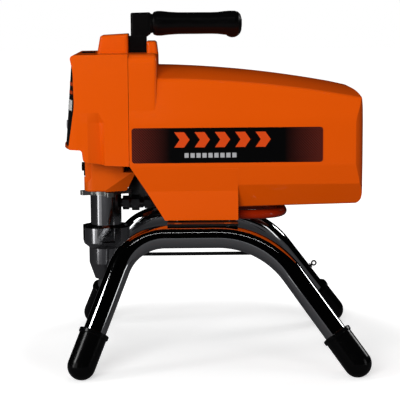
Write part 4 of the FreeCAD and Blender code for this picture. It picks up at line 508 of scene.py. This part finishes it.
def print_on(strip, node, axis):
    """Lay a strip on a node's face as a thin print with soft edges."""
    wrap = strip.modifiers.new("lay", "SHRINKWRAP")
    wrap.target = NODES[node]
    wrap.wrap_method = "PROJECT"
    wrap.use_project_x = axis == "X"
    wrap.use_project_y = axis == "Y"
    wrap.use_negative_direction = True
    wrap.use_positive_direction = True
    wrap.offset = PRINT_LIFT
    thick = strip.modifiers.new("thick", "SOLIDIFY")
    thick.thickness = PRINT_THICKNESS
    thick.offset = 1.0
    soft = strip.modifiers.new("soft", "BEVEL")
    soft.width = PRINT_EDGE
    soft.limit_method = "ANGLE"
    apply_modifiers(strip)


def join(pieces, name):
    """One piece from several."""
    bpy.ops.object.select_all(action="DESELECT")
    for piece in pieces:
        piece.select_set(True)
    bpy.context.view_layer.objects.active = pieces[0]
    if len(pieces) > 1:
        bpy.ops.object.join()
    pieces[0].name = name
    return pieces[0]


CHEVRONS, CHEVRON_LEFT, CHEVRON_STEP = 5, -0.046, 0.0265
CHEVRON_Z, CHEVRON_HEIGHT, CHEVRON_WIDTH = 0.3005, 0.020, 0.0130
CHEVRON_LEAN = 0.7
BLOCKS, BLOCK_LEFT, BLOCK_STEP = 9, -0.040, 0.0078
BLOCK_Z, BLOCK_HEIGHT, BLOCK_WIDTH = 0.2800, 0.0062, 0.0055


def badge_marks(facing, side):
    """Chevrons over a row of short blocks: plain marks, nothing to read."""
    low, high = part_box("badges")
    y = (low[1] - STANDOFF) if side == "near" else (high[1] + STANDOFF)
    chevrons = []
    for k in range(CHEVRONS):
        x = CHEVRON_LEFT + k * CHEVRON_STEP
        for half, lean in ((0.25, -CHEVRON_LEAN), (-0.25, CHEVRON_LEAN)):
            if side == "far":
                lean = -lean
            centre = (x, y, CHEVRON_Z + half * CHEVRON_HEIGHT)
            chevrons.append(flat_strip(
                "chevron", centre, CHEVRON_WIDTH, CHEVRON_HEIGHT * 0.5, facing, slant=lean))
            print_on(chevrons[-1], "badges", "Y")
    settle(join(chevrons, "badge_chevrons_" + side), "machine", finishes["mark_orange"])
    blocks = []
    for k in range(BLOCKS):
        centre = (BLOCK_LEFT + k * BLOCK_STEP, y, BLOCK_Z)
        blocks.append(flat_strip("block", centre, BLOCK_WIDTH, BLOCK_HEIGHT, facing))
        print_on(blocks[-1], "badges", "Y")
    settle(join(blocks, "badge_blocks_" + side), "machine", finishes["mark_grey"])


PANEL_BAR_Y, PANEL_BAR_ZS = 0.043, (0.372, 0.361)
PANEL_BAR_WIDTH, PANEL_BAR_HEIGHT = 0.034, 0.0045
LABEL_Y, LABEL_Z, LABEL_WIDTH, LABEL_HEIGHT = 0.046, 0.344, 0.026, 0.014


def panel_marks():
    """Red bars and a pale label on the bowed panel, each side of the display."""
    low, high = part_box("front_panel")
    x = low[0] - STANDOFF
    bars = []
    for side in (-1, 1):
        for z in PANEL_BAR_ZS:
            centre = (x, side * PANEL_BAR_Y, z)
            bars.append(flat_strip("bar", centre, PANEL_BAR_WIDTH, PANEL_BAR_HEIGHT, "-X"))
            print_on(bars[-1], "front_panel", "X")
    settle(join(bars, "panel_bars"), "machine", finishes["mark_orange"])
    labels = []
    for side in (-1, 1):
        centre = (x, side * LABEL_Y, LABEL_Z)
        labels.append(flat_strip("label", centre, LABEL_WIDTH, LABEL_HEIGHT, "-X"))
        print_on(labels[-1], "front_panel", "X")
    settle(join(labels, "panel_labels"), "machine", finishes["mark_white"])


def small_bar(centre, size):
    """Short raised bar with soft edges."""
    bpy.ops.object.select_all(action="DESELECT")
    bpy.ops.mesh.primitive_cube_add(size=1.0, location=centre)
    bar = bpy.context.object
    bar.scale = size
    bpy.ops.object.transform_apply(location=True, rotation=True, scale=True)
    edit_all(bar)
    bpy.ops.mesh.bevel(offset=SIGN_EDGE, segments=2, affect="EDGES")
    bpy.ops.object.mode_set(mode="OBJECT")
    return bar


SIGN_DEPTH, SIGN_LENGTH, SIGN_WIDTH = 0.0006, 0.006, 0.0012
SIGN_PROUD = 0.0001              # centre of a sign, in front of its key's face


def key_sign(node, body, both_ways):
    """Raised minus or plus on a panel key."""
    low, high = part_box(node)
    place = (low[0] - SIGN_PROUD, (low[1] + high[1]) / 2, (low[2] + high[2]) / 2)
    strokes = [small_bar(place, (SIGN_DEPTH, SIGN_LENGTH, SIGN_WIDTH))]
    if both_ways:
        strokes.append(small_bar(place, (SIGN_DEPTH, SIGN_WIDTH, SIGN_LENGTH)))
    settle(join(strokes, node + "_sign"), body, finishes["mark_white"])


POINTER_WIDTH = 0.0016
POINTER_REACH, POINTER_CENTRE = 0.60, 0.55     # shares of the knob's radius


def knob_pointer():
    """White line across the pressure knob's face."""
    low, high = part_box("pressure_knob")
    radius = (high[2] - low[2]) / 2
    place = ((low[0] + high[0]) / 2, high[1], (low[2] + high[2]) / 2 + radius * POINTER_CENTRE)
    line = small_bar(place, (POINTER_WIDTH, SIGN_DEPTH, radius * POINTER_REACH))
    line.name = "knob_pointer"
    settle(line, "knob", finishes["mark_white"])


# ---- put together -----------------------------------------------------------------------------------------
make_camera()
make_studio()
finishes = make_finishes()
dress_nodes(finishes)
lay_hatching(finishes["badge_black"])
badge_marks("-Y", "near")
badge_marks("+Y", "far")
panel_marks()
key_sign("button_near", "key_near", False)
key_sign("button_far", "key_far", True)
knob_pointer()
